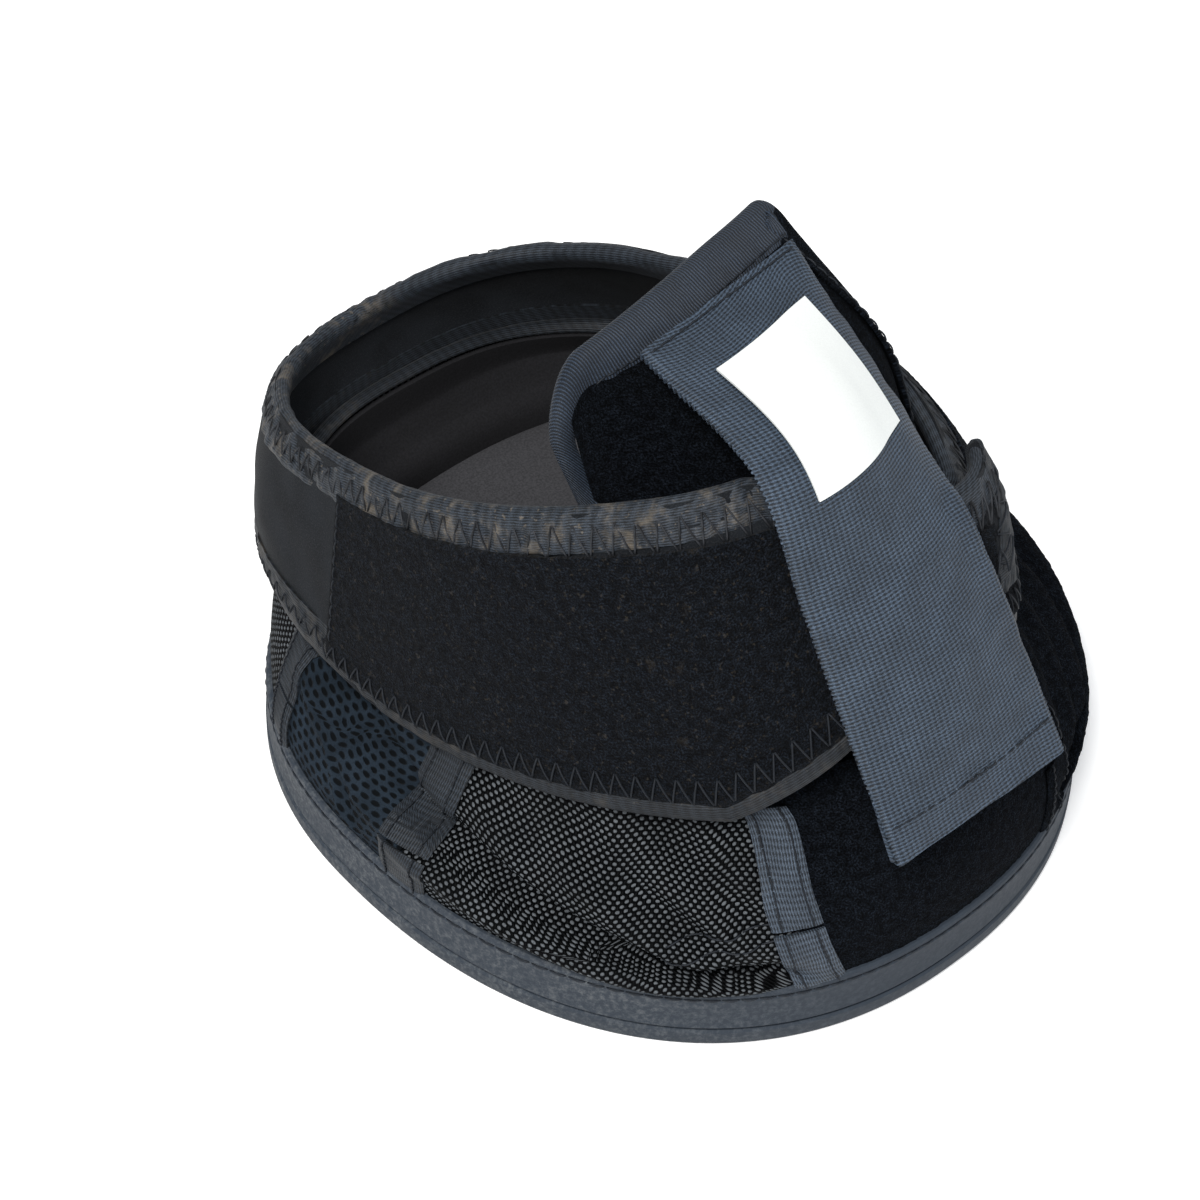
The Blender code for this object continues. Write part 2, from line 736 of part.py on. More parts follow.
def rows_inside(face, theta, edges, margin):
    """Lower and upper rows of a band, a margin inside its two edges."""
    low, top = edges[0](theta), edges[1](theta)
    up = travel_for(face, theta, low, (0, 1), margin)
    down = travel_for(face, theta, top, (0, -1), margin)
    return low + up, top - down


def patch_rows(face, theta, edges):
    """Rows of a band between the bindings on its two edges."""
    return spread(*rows_inside(face, theta, edges, BINDING_LEG + CLEARANCE + EDGE_PINCH * 2), 5)


def band_rows(face, theta, edges):
    """All the rows of a band, with one where each binding's leg ends."""
    low_leg, top_leg = rows_inside(face, theta, edges, BINDING_LEG + CLEARANCE)
    middle = patch_rows(face, theta, edges)
    return [edges[0](theta), low_leg] + middle + [top_leg, edges[1](theta)]


def band_core(face, side, angles, edges, pinch_end):
    """Neoprene strip whose edges are pinched thin under the binding."""
    outer, inner = [], []
    for index, theta in enumerate(angles):
        rows = band_rows(face, theta, edges)
        pinched_column = pinch_end and index >= len(angles) - 2
        out_column, in_column = [], []
        for row, v in enumerate(rows):
            pinched = pinched_column or row < 2 or row > len(rows) - 3
            pinch = EDGE_PINCH if pinched else 0.0
            out_column.append(offset_point(face, theta, v, -pinch, side))
            in_column.append(offset_point(face, theta, v, pinch - NEOPRENE_THICKNESS, side))
        outer.append(out_column)
        inner.append(in_column)
    return outer, inner


def leg_angle(face, edges, end):
    """Angle that a binding's leg takes up at the end of a band."""
    v = (edges[0](end) + edges[1](end)) / 2
    return travel_for(face, end, v, (1, 0), BINDING_LEG + CLEARANCE)


def binding_faces():
    """Offsets of a binding's outer and inner faces from a band's face."""
    outer = CLEARANCE + BINDING_THICKNESS - EDGE_PINCH
    inner = EDGE_PINCH - NEOPRENE_THICKNESS - CLEARANCE - BINDING_THICKNESS
    return outer, inner


def make_band(name, face, side, edges, end, pivot, skins):
    """One collar band with its loop face and its three bindings."""
    neoprene, loop, tape, dusty = skins
    root = BAND_ROOT_ANGLE - HINGE_GAP / COLLAR_LOW_HALF_WIDTH / 2
    leg = leg_angle(face, edges, end)
    angles = band_angles(root, end + leg, BAND_CORNER_ANGLE) + [end]
    outer, inner = band_core(face, side, angles, edges, True)
    add_object(name + "_band", skin_between(outer, inner), neoprene, pivot)
    patch_end = end + leg * PATCH_INSET_SHARE
    inside = [a for a in angles if patch_end + TINY_SHARE < a < root]
    patch_angles = [root - HINGE_GAP / COLLAR_LOW_HALF_WIDTH] + inside + [patch_end]
    grids = []
    for offset in (CLEARANCE + LOOP_THICKNESS, CLEARANCE):
        grids.append([
            [offset_point(face, theta, v, offset, side) for v in patch_rows(face, theta, edges)]
            for theta in patch_angles])
    add_object(name + "_band_loop_face", skin_between(*grids), loop, pivot)
    out, into = binding_faces()
    edge_angles = angles[:-2] + [end + leg + SEAM_GAP / COLLAR_TOP_HALF_WIDTH]
    low, high = edges
    top = edge_sections(face, [(a, high(a)) for a in edge_angles], (0, -1), out, into, side)
    add_object(name + "_band_top_binding", sweep(top, U_CAPS), dusty, pivot)
    foot = edge_sections(face, [(a, low(a)) for a in edge_angles], (0, 1), out, into, side)
    add_object(name + "_band_low_binding", sweep(foot, U_CAPS), tape, pivot)
    tip = edge_sections(
        face, [(end, v) for v in band_rows(face, end, edges)], (1, 0), out, into, side)
    add_object(name + "_band_end_binding", sweep(tip, U_CAPS), tape, pivot)


def make_hook_patch(hook, pivot):
    """Hook patch inside the near band's end, facing the far band."""
    start = NEAR_BAND_END + leg_angle(near_face, NEAR_EDGES, NEAR_BAND_END) * HOOK_INSET_SHARE
    end = start + HOOK_PATCH_LENGTH / COLLAR_LOW_HALF_WIDTH
    face_offset = -NEOPRENE_THICKNESS - CLEARANCE
    grids = []
    for offset in (face_offset, face_offset - HOOK_THICKNESS):
        grids.append([
            [offset_point(near_face, theta, v, offset) for v in patch_rows(near_face, theta, NEAR_EDGES)]
            for theta in spread(start, end, 4)])
    add_object("near_band_hook_patch", skin_between(*grids), hook, pivot)


NEAR_EDGES = (band_low, near_top)
FAR_EDGES = (band_low, far_top)
BACK_EDGES = (flat_edge, whole_edge)


def make_collar_back(neoprene, tape, dusty):
    half_gap = HINGE_GAP / COLLAR_LOW_HALF_WIDTH / 2
    start = BAND_ROOT_ANGLE + half_gap
    angles = spread(start, 2 * math.pi - start, 21)
    outer, inner = band_core(collar, 1, angles, BACK_EDGES, False)
    add_object("collar_back", skin_between(outer, inner), neoprene)
    out, into = binding_faces()
    top = edge_sections(collar, [(a, 1.0) for a in angles], (0, -1), out, into)
    add_object("collar_back_top_binding", sweep(top, U_CAPS), dusty)
    low = edge_sections(collar, [(a, 0.0) for a in angles], (0, 1), out, into)
    add_object("collar_back_low_binding", sweep(low, U_CAPS), tape)


# Tongue and strap


def tongue_length():
    """Length of the tongue from its base to its top line."""
    points = [tongue(0.0, t) for t in spread(0.0, TONGUE_ROWS, STRAP_STEPS)]
    return sum((b - a).length for a, b in zip(points, points[1:]))


def tongue_outline(s, t):
    """Tongue face with its two top corners rounded off, the far one less."""
    past = abs(s) * TONGUE_HALF_WIDTH - (TONGUE_HALF_WIDTH - TONGUE_CORNER_REACH)
    corner_drop = TONGUE_CORNER_DROP if s < 0 else TONGUE_FAR_CORNER_DROP
    drop = corner_drop * (max(past, 0.0) / TONGUE_CORNER_REACH) ** 2
    return tongue(s, t * (1 - drop / tongue_length()))


def half_width_at(t):
    """Half width of the tongue at a station of its height."""
    return (tongue(1.0, t) - tongue(-1.0, t)).length / 2


def tongue_across(t, inset):
    """Stations across the tongue at t, one where each side binding's leg ends."""
    length = max(BINDING_LEG + CLEARANCE, inset)
    near = travel_for(tongue_outline, -1.0, t, (1, 0), length) - 1
    far = 1 - travel_for(tongue_outline, 1.0, t, (-1, 0), length)
    middle = spread(near, far, 9)
    return middle if inset else [-1.0] + middle + [1.0]


def tongue_up(s, inset):
    """Stations up the tongue at s, one where its top binding's leg ends."""
    length = max(BINDING_LEG + CLEARANCE, inset)
    travel = travel_for(tongue_outline, s, TONGUE_ROWS, (0, -1), length)
    run = spread(0.0, TONGUE_ROWS - travel, 11)
    return run if inset else run + [float(TONGUE_ROWS)]


def tongue_grid(offset_of, inset):
    """Grid over the tongue, inset from its sides and top; offset_of gives each point's offset."""
    rows = []
    for index, level in enumerate(tongue_up(0.0, inset)):
        row = []
        for s in tongue_across(level, inset):
            t = tongue_up(s, inset)[index]
            row.append(offset_point(tongue_outline, s, t, offset_of(s, t), -1))
        rows.append(row)
    return [list(column) for column in zip(*rows)]


def tongue_back(s, t):
    """Offset of the tongue core's inner face: full in the middle, thin under the binding."""
    leg = BINDING_LEG + CLEARANCE
    from_side = (1 - abs(s)) * half_width_at(t)
    from_top = (tongue(s, TONGUE_ROWS) - tongue(s, t)).length
    fill = smooth_step(leg, leg * 2, from_side) * smooth_step(leg, leg * 2, from_top)
    thickness = TONGUE_CORE_EDGE + (TONGUE_CORE_THICKNESS - TONGUE_CORE_EDGE) * fill
    return -LOOP_THICKNESS - CLEARANCE - thickness


def make_tongue(foam, loop, cloth, tape, pivot):
    front = -LOOP_THICKNESS - CLEARANCE
    core = skin_between(tongue_grid(lambda s, t: front, 0.0), tongue_grid(tongue_back, 0.0))
    add_object("tongue_pad", core, foam, pivot)
    margin = BINDING_LEG + SEAM_GAP
    face = skin_between(
        tongue_grid(lambda s, t: 0.0, margin), tongue_grid(lambda s, t: -LOOP_THICKNESS, margin))
    add_object("tongue_loop_face", face, loop, pivot)
    back = skin_between(
        tongue_grid(lambda s, t: tongue_back(s, t) - CLEARANCE, margin),
        tongue_grid(lambda s, t: tongue_back(s, t) - CLEARANCE - LINING_THICKNESS, margin))
    add_object("tongue_lining", back, cloth, pivot)
    out = front + SEAM_GAP + BINDING_THICKNESS
    into = front - TONGUE_CORE_EDGE - SEAM_GAP - BINDING_THICKNESS
    for name, edge, step in (("near", -1.0, (1, 0)), ("far", 1.0, (-1, 0))):
        run = edge_sections(
            tongue_outline, [(edge, t) for t in tongue_up(edge, BINDING_LEG + 2 * SEAM_GAP)],
            step, out, into, -1)
        add_object("tongue_" + name + "_binding", sweep(run, U_CAPS), tape, pivot)
    top = edge_sections(
        tongue_outline, [(s, TONGUE_ROWS) for s in tongue_across(TONGUE_ROWS, 0.0)],
        (0, -1), out, into, -1)
    add_object("tongue_top_binding", sweep(top, U_CAPS), tape, pivot)


def strap_across(limit):
    """Stations across a layer of the strap, shared by all its layers."""
    patch = 1 - STRAP_PATCH_INSET / STRAP_WIDTH
    shared = (-patch, -patch / 2, 0.0, patch / 2, patch)
    return [-limit] + [s for s in shared if abs(s) < limit - TINY_SHARE] + [limit]


def strap_shell(limit, start, end, outer, inner):
    """Layer of the strap between two stations of its length."""
    inside = [t for t in spread(0.0, 1.0, STRAP_STEPS) if start + TINY_SHARE < t < end - TINY_SHARE]
    grids = []
    for offset in (outer, inner):
        grids.append([
            [offset_point(strap, s, t, offset) for t in [start] + inside + [end]]
            for s in strap_across(limit)])
    return skin_between(*grids)


def strap_length():
    points = [strap(0.0, t) for t in spread(0.0, 1.0, STRAP_STEPS)]
    return sum((b - a).length for a, b in zip(points, points[1:]))


def make_strap(webbing, hook, paper, pivot):
    fold_share = 1 - STRAP_FOLD_LENGTH / strap_length()
    under = -STRAP_THICKNESS - CLEARANCE
    body = strap_shell(1.0, 0.0, 1.0, 0.0, -STRAP_THICKNESS)
    add_object("strap_webbing", body, webbing, pivot)
    patch_side = 1 - STRAP_PATCH_INSET / STRAP_WIDTH
    gap_share = SEAM_GAP / strap_length()
    patch = strap_shell(
        patch_side, 0.0, fold_share - gap_share, under, under - HOOK_THICKNESS)
    add_object("strap_hook_face", patch, hook, pivot)
    fold = strap_shell(1.0, fold_share, 1.0, under, under - STRAP_THICKNESS)
    add_object("strap_end_fold", fold, webbing, pivot)
    label = strap_shell(
        LABEL_WIDTH / STRAP_WIDTH, LABEL_START_SHARE, LABEL_END_SHARE,
        CLEARANCE + LABEL_THICKNESS, CLEARANCE)
    add_object("label_patch", label, paper, pivot)


def main():
    for obj in list(bpy.data.objects):
        bpy.data.objects.remove(obj)
    rubber = make_material("sole rubber", (0.045, 0.047, 0.052), 0.6)
    ballistic = make_material("ballistic nylon", (0.03, 0.032, 0.036), 0.55)
    mesh = make_material("air mesh", (0.035, 0.045, 0.06), 0.7)
    loop = make_material("loop pile", (0.012, 0.012, 0.014), 0.95)
    webbing = make_material("strap webbing", (0.045, 0.06, 0.085), 0.6)
    tape = make_material("binding tape", (0.025, 0.03, 0.04), 0.6)
    dusty = make_material("dusty binding", (0.09, 0.085, 0.075), 0.85)
    neoprene = make_material("neoprene", (0.02, 0.021, 0.024), 0.85)
    cloth = make_material("lining cloth", (0.02, 0.02, 0.022), 0.8)
    hook = make_material("hook tape", (0.015, 0.016, 0.018), 0.6)
    foam = make_material("foam", (0.06, 0.06, 0.065), 0.9)
    board = make_material("insole board", (0.12, 0.1, 0.08), 0.8)
    paper = make_material("label cloth", (0.75, 0.76, 0.74), 0.7)

    make_outsole(rubber)
    make_rand(rubber)
    make_insole(board, foam)
    make_panels(loop, ballistic, mesh)
    make_tapes(webbing)
    make_lining(cloth)
    make_top_piping(tape)
    make_collar_back(neoprene, tape, dusty)

    root = collar(BAND_ROOT_ANGLE, 0.5)
    near_pivot = add_pivot("near_band_pivot", root)
    far_pivot = add_pivot("far_band_pivot", collar(-BAND_ROOT_ANGLE, 0.5))
    tongue_pivot = add_pivot("tongue_pivot", tongue(0.0, 0.0))
    strap_pivot = add_pivot("strap_pivot", strap(0.0, 0.0), tongue_pivot)

    skins = (neoprene, loop, tape, dusty)
    make_band("near", near_face, 1, NEAR_EDGES, NEAR_BAND_END, near_pivot, skins)
    make_hook_patch(hook, near_pivot)
    make_band("far", far_face, -1, FAR_EDGES, FAR_BAND_END, far_pivot, skins)
    make_tongue(foam, loop, cloth, tape, tongue_pivot)
    make_strap(webbing, hook, paper, strap_pivot)


main()
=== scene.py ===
"""Horse hoof boot: cloth, webbing, stitching and rubber built round the packed part."""
import math
from collections import namedtuple

import bpy
import numpy as np
from mathutils import Matrix, Vector


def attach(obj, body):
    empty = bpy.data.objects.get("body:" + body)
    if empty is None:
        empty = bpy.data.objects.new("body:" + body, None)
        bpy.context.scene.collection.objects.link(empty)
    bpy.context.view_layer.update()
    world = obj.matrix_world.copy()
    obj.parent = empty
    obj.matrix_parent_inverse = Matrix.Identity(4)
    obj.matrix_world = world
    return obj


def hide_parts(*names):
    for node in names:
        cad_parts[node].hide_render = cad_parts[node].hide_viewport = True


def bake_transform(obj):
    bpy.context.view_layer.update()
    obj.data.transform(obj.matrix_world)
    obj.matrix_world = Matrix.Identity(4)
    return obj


bl_info = {
    "name": "Hoof Boot Looks",
    "version": (1, 0, 0),
    "blender": (4, 5, 0),
    "location": "View3D > Sidebar > Hoof Boot",
    "description": "Dresses a packed hoof boot in cloth, webbing, stitching and rubber",
    "category": "Add Mesh",
}

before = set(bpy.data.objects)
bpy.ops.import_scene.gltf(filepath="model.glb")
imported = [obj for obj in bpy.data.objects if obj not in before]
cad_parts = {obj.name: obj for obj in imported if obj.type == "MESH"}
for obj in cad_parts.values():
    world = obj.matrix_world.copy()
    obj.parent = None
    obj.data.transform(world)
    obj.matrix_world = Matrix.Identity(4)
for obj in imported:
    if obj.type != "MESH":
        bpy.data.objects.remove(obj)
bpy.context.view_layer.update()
MM = 0.001
SEED = 7


# Settings


def length(name, default, description):
    return bpy.props.FloatProperty(
        name=name, description=description, default=default * MM, unit="LENGTH", precision=4)


def angle(name, degrees, description):
    return bpy.props.FloatProperty(
        name=name, description=description, default=math.radians(degrees), unit="ROTATION")


def share(name, default, description):
    return bpy.props.FloatProperty(
        name=name, description=description, default=default, subtype="FACTOR", precision=3)


def colour(name, default, description):
    return bpy.props.FloatVectorProperty(
        name=name, description=description, default=default, size=3, subtype="COLOR",
        min=0.0, max=1.0)


class BootShape(bpy.types.PropertyGroup):
    """Outline of the sole and of the collar's two edges."""
    sole_half_width: length("Sole half width", 69.5, "Half of the sole's outside width")
    sole_front: length("Sole front", 80.0, "Reach of the sole in front of the boot's middle")
    sole_back: length("Sole back", 62.0, "Reach of the sole behind the boot's middle")
    sole_power: share("Sole squareness", 2.2, "Power of the sole's outline")
    flange_height: length("Flange height", 4.0, "Height of the sole's outer flange")
    sole_height: length("Sole height", 7.0, "Height of the sole inside the upper")
    rand_height: length("Rand height", 14.0, "Height of the rubber band round the sole")
    rand_thickness: length("Rand thickness", 2.6, "Thickness of the rubber band")
    low_centre: length("Lower ring centre", 5.0, "Place of the collar's lower ring")
    low_height: length("Lower ring height", 32.5, "Height of the collar's lower ring")
    low_half_width: length("Lower ring half width", 57.0, "Half width of the lower ring")
    low_front: length("Lower ring front", 77.0, "Reach of the lower ring to the toe")
    low_back: length("Lower ring back", 66.0, "Reach of the lower ring to the heel")
    low_slope: share("Lower ring rise", 0.215, "Rise of the lower ring towards the toe")
    low_back_slope: share("Lower ring fall", 0.13, "Fall of the lower ring towards the heel")
    top_lean: length("Collar lean", 6.0, "How far the collar leans to the near side")
    top_centre: length("Upper ring centre", 16.0, "Place of the collar's upper ring")
    top_height: length("Upper ring height", 70.0, "Height of the collar's upper ring")
    top_half_width: length("Upper ring half width", 40.0, "Half width of the upper ring")
    top_front: length("Upper ring front", 52.0, "Reach of the upper ring to the toe")
    top_back: length("Upper ring back", 57.0, "Reach of the upper ring to the heel")
    top_slope: share("Upper ring rise", 0.47, "Rise of the upper ring towards the toe")
    top_back_slope: share("Upper ring fall", 0.41, "Fall of the upper ring to the heel")
    front_power: share("Front squareness", 2.0, "Power of the collar's outline in front")
    back_power: share("Back squareness", 2.6, "Power of the collar's outline behind")
    belly: length("Heel swell", 2.8, "How far the collar swells out at the heel")
    shoulder: length("Far swell", 7.0, "How far the collar swells out on its far side")


class BootSeams(bpy.types.PropertyGroup):
    """Seams of the upper and ends of the collar's bands, as angles from the toe."""
    front_low: angle("Front seam, sole", 20.0, "Front seam at the sole")
    front_high: angle("Front seam, collar", 35.0, "Front seam at the collar")
    rear_low: angle("Rear seam, sole", 80.0, "Rear seam at the sole")
    rear_high: angle("Rear seam, collar", 79.0, "Rear seam at the collar")
    heel: angle("Heel seam", 113.0, "Heel seam")
    band_root: angle("Band root", 104.0, "Where each band of the collar starts to swing")
    near_end: angle("Near band end", -38.0, "End of the near band, past the toe")
    far_end: angle("Far band end", -8.0, "End of the far band")
    near_lift: length("Near band lift", 3.0, "How far the near band stands over the far one")
    far_sink: length("Far band sink", 2.5, "How far the far band lies under the near one")
    corner: angle("Band corner", 37.0, "Where each band's lower edge turns up")
    rise_end: angle("Band rise end", 6.0, "Where each band's lower edge stops rising")
    rise: share("Band rise", 0.27, "Share of the band's height that its lower edge climbs")
    drop: share("Band drop", 0.38, "Share of the band's height that its top edge falls")


class BootCloth(bpy.types.PropertyGroup):
    """Gauges of cloth, webbing, thread and padding."""
    clearance: length("Clearance", 0.3, "Gap between pieces that touch")
    panel: length("Panel", 1.2, "Thickness of the upper's panels")
    lining_gap: length("Lining gap", 0.8, "Gap between panels and lining")
    lining: length("Lining", 1.0, "Thickness of the lining")
    tape_width: length("Tape width", 9.0, "Width of the seam tapes")
    tape: length("Tape", 0.7, "Thickness of the seam tapes")
    neoprene: length("Neoprene", 2.5, "Thickness of the collar")
    pile: length("Loop pile", 0.8, "Thickness of the loop pile")
    pile_rough: length("Pile height", 0.34, "How far loops of the pile stand up")
    binding_leg: length("Binding leg", 6.5, "Width of a binding on either side of an edge")
    binding: length("Binding", 0.7, "Thickness of a binding")
    thread: length("Thread", 0.17, "Radius of the stitching thread")
    zigzag_pitch: length("Zigzag pitch", 3.5, "Length of one zigzag stitch")
    lock_pitch: length("Lockstitch pitch", 2.6, "Length of one lockstitch")


class BootClosure(bpy.types.PropertyGroup):
    """Tongue, strap and label."""
    tongue_half_width: length("Tongue half width", 29.25, "Half width of the tongue's top")
    tongue_centre: length("Tongue centre", -2.75, "Place of the tongue's middle across")
    tongue_depth: length("Tongue depth", 6.8, "How far the tongue lies inside the collar")
    tongue_base: share("Tongue base", 0.1, "Height of the tongue's base on the collar")
    tongue_top_y: length("Tongue top place", 0.0, "Place of the tongue's top line")
    tongue_top_z: length("Tongue top height", 102.4, "Height of the tongue's top line")
    tongue_skew: share("Tongue skew", 0.246, "Skew of the tongue's top line")
    tongue_tilt: share("Tongue tilt", -0.08, "Tilt of the tongue's top line")
    tongue_far_lift: length("Tongue far lift", 8.0, "How far the tongue's far edge stands up")
    corner_round: length("Near corner", 9.0, "Radius of the tongue's near corner")
    far_corner_round: length("Far corner", 2.5, "Radius of the tongue's far corner")
    tongue_rise: length("Tongue rise", 66.0, "Length of the tongue from its base to its top")
    strap_width: length("Strap width", 38.0, "Width of the strap's webbing")
    strap: length("Strap", 1.6, "Thickness of the strap's webbing")
    strap_top_x: length("Strap top place", 2.5, "Middle of the strap's seam")
    strap_end_x: length("Strap end place", -0.5, "Middle of the strap's end")
    strap_seam_y: length("Strap seam place", -8.2, "Place of the strap's seam")
    strap_seam_z: length("Strap seam height", 103.0, "Height of the strap's seam")
    strap_skew: share("Strap skew", 0.146, "Skew of the strap's seam")
    strap_tilt: share("Strap tilt", -0.045, "Tilt of the strap's seam")
    strap_sag: length("Strap sag", 8.0, "Sag of the strap's far edge over the tongue")
    strap_reach: length("Strap end reach", 10.0, "How far the strap's end stands off the toe")
    strap_drop: length("Strap end drop", 18.0, "How far the strap's end hangs down")
    fold: length("Strap fold", 9.0, "Length folded back at the strap's end")
    hook: length("Hook tape", 0.7, "Thickness of the hook tape")
    label_width: length("Label width", 24.0, "Width of the bare label patch")
    label_start: share("Label start", 0.09, "Start of the label along the strap")
    label_end: share("Label end", 0.335, "End of the label along the strap")
    label: length("Label", 0.4, "Thickness of the label patch")


class BootColours(bpy.types.PropertyGroup):
    """Colours of the finishes."""
    rubber: colour("Rubber", (0.026, 0.034, 0.046), "Sole and rand")
    nylon: colour("Nylon", (0.122, 0.134, 0.146), "Lit yarn of the coarse nylon")
    nylon_painted_shade: colour("Nylon gap", (0.0015, 0.0018, 0.0022), "Shaded yarn of the coarse nylon")
    mesh: colour("Air mesh", (0.0155, 0.0235, 0.0340), "Spacer mesh")
    pile: colour("Loop pile", (0.0034, 0.0046, 0.0068), "Loop pile")
    webbing: colour("Webbing", (0.036, 0.052, 0.076), "Strap webbing")
    tape: colour("Seam tape", (0.044, 0.058, 0.078), "Seam tapes")
    binding: colour("Binding", (0.0105, 0.0135, 0.0180), "Lower bindings")
    ribbed: colour("Ribbed binding", (0.0165, 0.0250, 0.0400), "Ribbed bindings of the tongue")
    neoprene: colour("Neoprene", (0.0080, 0.0095, 0.0120), "Collar")
    dust: colour("Dust", (0.23, 0.19, 0.14), "Dried dust")
    thread: colour("Thread", (0.016, 0.020, 0.027), "Stitching")
    lining: colour("Lining", (0.012, 0.012, 0.014), "Lining cloth")
    label: colour("Label", (0.80, 0.82, 0.80), "Bare label patch")
    floor: colour("Floor", (0.92, 0.92, 0.92), "Studio floor")


GROUPS = (
    ("boot_shape", BootShape), ("boot_seams", BootSeams), ("boot_cloth", BootCloth),
    ("boot_closure", BootClosure), ("boot_colours", BootColours))


def shape():
    return bpy.context.scene.boot_shape


def seams():
    return bpy.context.scene.boot_seams


def cloth():
    return bpy.context.scene.boot_cloth


def closure():
    return bpy.context.scene.boot_closure


def colours():
    return bpy.context.scene.boot_colours


# Surfaces, as arrays of points

Ring = namedtuple(
    "Ring", "lean centre height half_width front back slope back_slope power back_power")
STEP = 1e-3
NARROW = 10 * MM
# Middles of the pieces that cloth wraps round, to tell its outside
UPPER_MIDDLE = np.array((0, 5 * MM, 25 * MM))
COLLAR_MIDDLE = np.array((0, 5 * MM, 50 * MM))
TONGUE_MIDDLE = np.array((0, 20 * MM, 50 * MM))
STRAP_MIDDLE = np.array((0, 10 * MM, 30 * MM))
# Rows up the upper, from its foot to its rim
UPPER_ROWS = 5.0
# Mean radii that turn lengths into angles, for the bands and for the heel
BAND_RADIUS = 57 * MM
HEEL_RADIUS = 66 * MM
STITCH_BULGE = 0.3 * MM
STITCH_STAND = 0.1 * MM
TRIM_CLOTH = 0.6 * MM
LEG_ROWS = 9
PUCKER_CELL = 4.5
NOSE_TURNS = np.linspace(math.pi / 2, -math.pi / 2, 11)[1:-1]


def smooth_step(start, end, value):
    """0 at start, 1 at end, easing in and out; start may be above end."""
    part = np.clip((value - start) / (end - start), 0.0, 1.0)
    return part * part * (3 - 2 * part)


def turn_from_toe(theta):
    return np.abs((theta + math.pi) % (2 * math.pi) - math.pi)


def bump_at(value, middle, reach):
    """Rounded hump of height 1 at middle, gone a reach away."""
    return np.exp(-((value - middle) / reach) ** 2)


def ring_point(ring, theta):
    """Points of a ring at angles from the toe, turning towards -X."""
    s, c = np.sin(theta), np.cos(theta)
    power = np.where(c > 0, ring.power, ring.back_power)
    reach = np.where(c > 0, ring.front, ring.back)
    slope = np.where(c > 0, ring.slope, ring.back_slope)
    size = (np.abs(s) ** power + np.abs(c) ** power) ** (-1 / power)
    along, across = reach * c * size, ring.half_width * s * size
    return np.stack(
        (-ring.lean - across, ring.centre - along, ring.height + slope * along), axis=-1)


def sole_ring(inset, height):
    b = shape()
    return Ring(0.0, 0.0, height, b.sole_half_width - inset, b.sole_front - inset,
                b.sole_back - inset, 0.0, 0.0, b.sole_power, b.sole_power)


def low_ring():
    b = shape()
    return Ring(0.0, b.low_centre, b.low_height, b.low_half_width, b.low_front, b.low_back,
                b.low_slope, b.low_back_slope, b.front_power, b.back_power)


def top_ring():
    b = shape()
    return Ring(b.top_lean, b.top_centre, b.top_height, b.top_half_width, b.top_front, b.top_back,
                b.top_slope, b.top_back_slope, b.front_power, b.back_power)


def outward(theta):
    point = ring_point(sole_ring(0.0, 0.0), theta)
    return point / np.linalg.norm(point, axis=-1, keepdims=True)


def cone(theta, v):
    """Straight-sided surface between the collar's two edge rings."""
    theta, v = np.broadcast_arrays(theta, v)
    low, top = ring_point(low_ring(), theta), ring_point(top_ring(), theta)
    return low + (top - low) * v[..., None]


SHOULDER_ANGLES = tuple(math.radians(a) for a in (18, 40, 48, 78))
BELLY_FULL_ANGLE = math.radians(127)
SHOULDER_REACH_SHARE = 0.8


def collar(theta, v):
    """Outer face of the collar, v = 0 at its lower edge and 1 at its upper edge."""
    theta, v = np.broadcast_arrays(theta, v)
    belly = shape().belly * smooth_step(seams().band_root, BELLY_FULL_ANGLE, turn_from_toe(theta))
    start, full, ease, stop = SHOULDER_ANGLES
    far_turn = (-theta) % (2 * math.pi)
    shoulder = smooth_step(start, full, far_turn) * smooth_step(stop, ease, far_turn)
    swell = np.sin(math.pi * v) * belly
    swell = swell + np.sin(math.pi * SHOULDER_REACH_SHARE * v) * shoulder * shape().shoulder
    return cone(theta, v) + outward(theta) * swell[..., None]


def normal(surface, a, b, side=1):
    """Unit normals of a surface by small steps; side is 1 or -1."""
    along_a = surface(a + STEP, b) - surface(a - STEP, b)
    along_b = surface(a, b + STEP) - surface(a, b - STEP)
    n = np.cross(along_b, along_a)
    return n / np.linalg.norm(n, axis=-1, keepdims=True) * side


def offset(surface, a, b, distance, side=1):
    """Points a distance outside a surface."""
    a, b, distance = np.broadcast_arrays(a, b, distance)
    return surface(a, b) + normal(surface, a, b, side) * distance[..., None]


def held(tangent, longest):
    """Tangents cut to a length at most."""
    size = np.linalg.norm(tangent, axis=-1, keepdims=True)
    return tangent * np.minimum(longest / np.maximum(size, 1e-9), 1.0)


def chain(rows, position):
    """Smooth curve through rows of points; position counts from 0 in whole rows."""
    last = len(rows) - 1
    result = rows[0] * 0.0
    for index in range(last):
        start, end = rows[index], rows[index + 1]
        before = rows[index - 1] if index else 2 * start - end
        after = rows[index + 2] if index + 2 <= last else 2 * end - start
        longest = np.linalg.norm(end - start, axis=-1, keepdims=True)
        rise, fall = held((end - before) / 2, longest), held((after - start) / 2, longest)
        t = (position - index)[..., None]
        a, b, d = 2 * t ** 3 - 3 * t ** 2 + 1, t ** 3 - 2 * t ** 2 + t, t ** 3 - t ** 2
        value = start * a + rise * b + end * (1 - a) + fall * d
        inside = (index == 0) | (position >= index)
        inside = inside & ((index == last - 1) | (position < index + 1))
        result = np.where(inside[..., None], value, result)
    return result


def band_height(theta):
    return np.linalg.norm(collar(theta, theta * 0.0 + 1.0) - collar(theta, theta * 0.0), axis=-1)


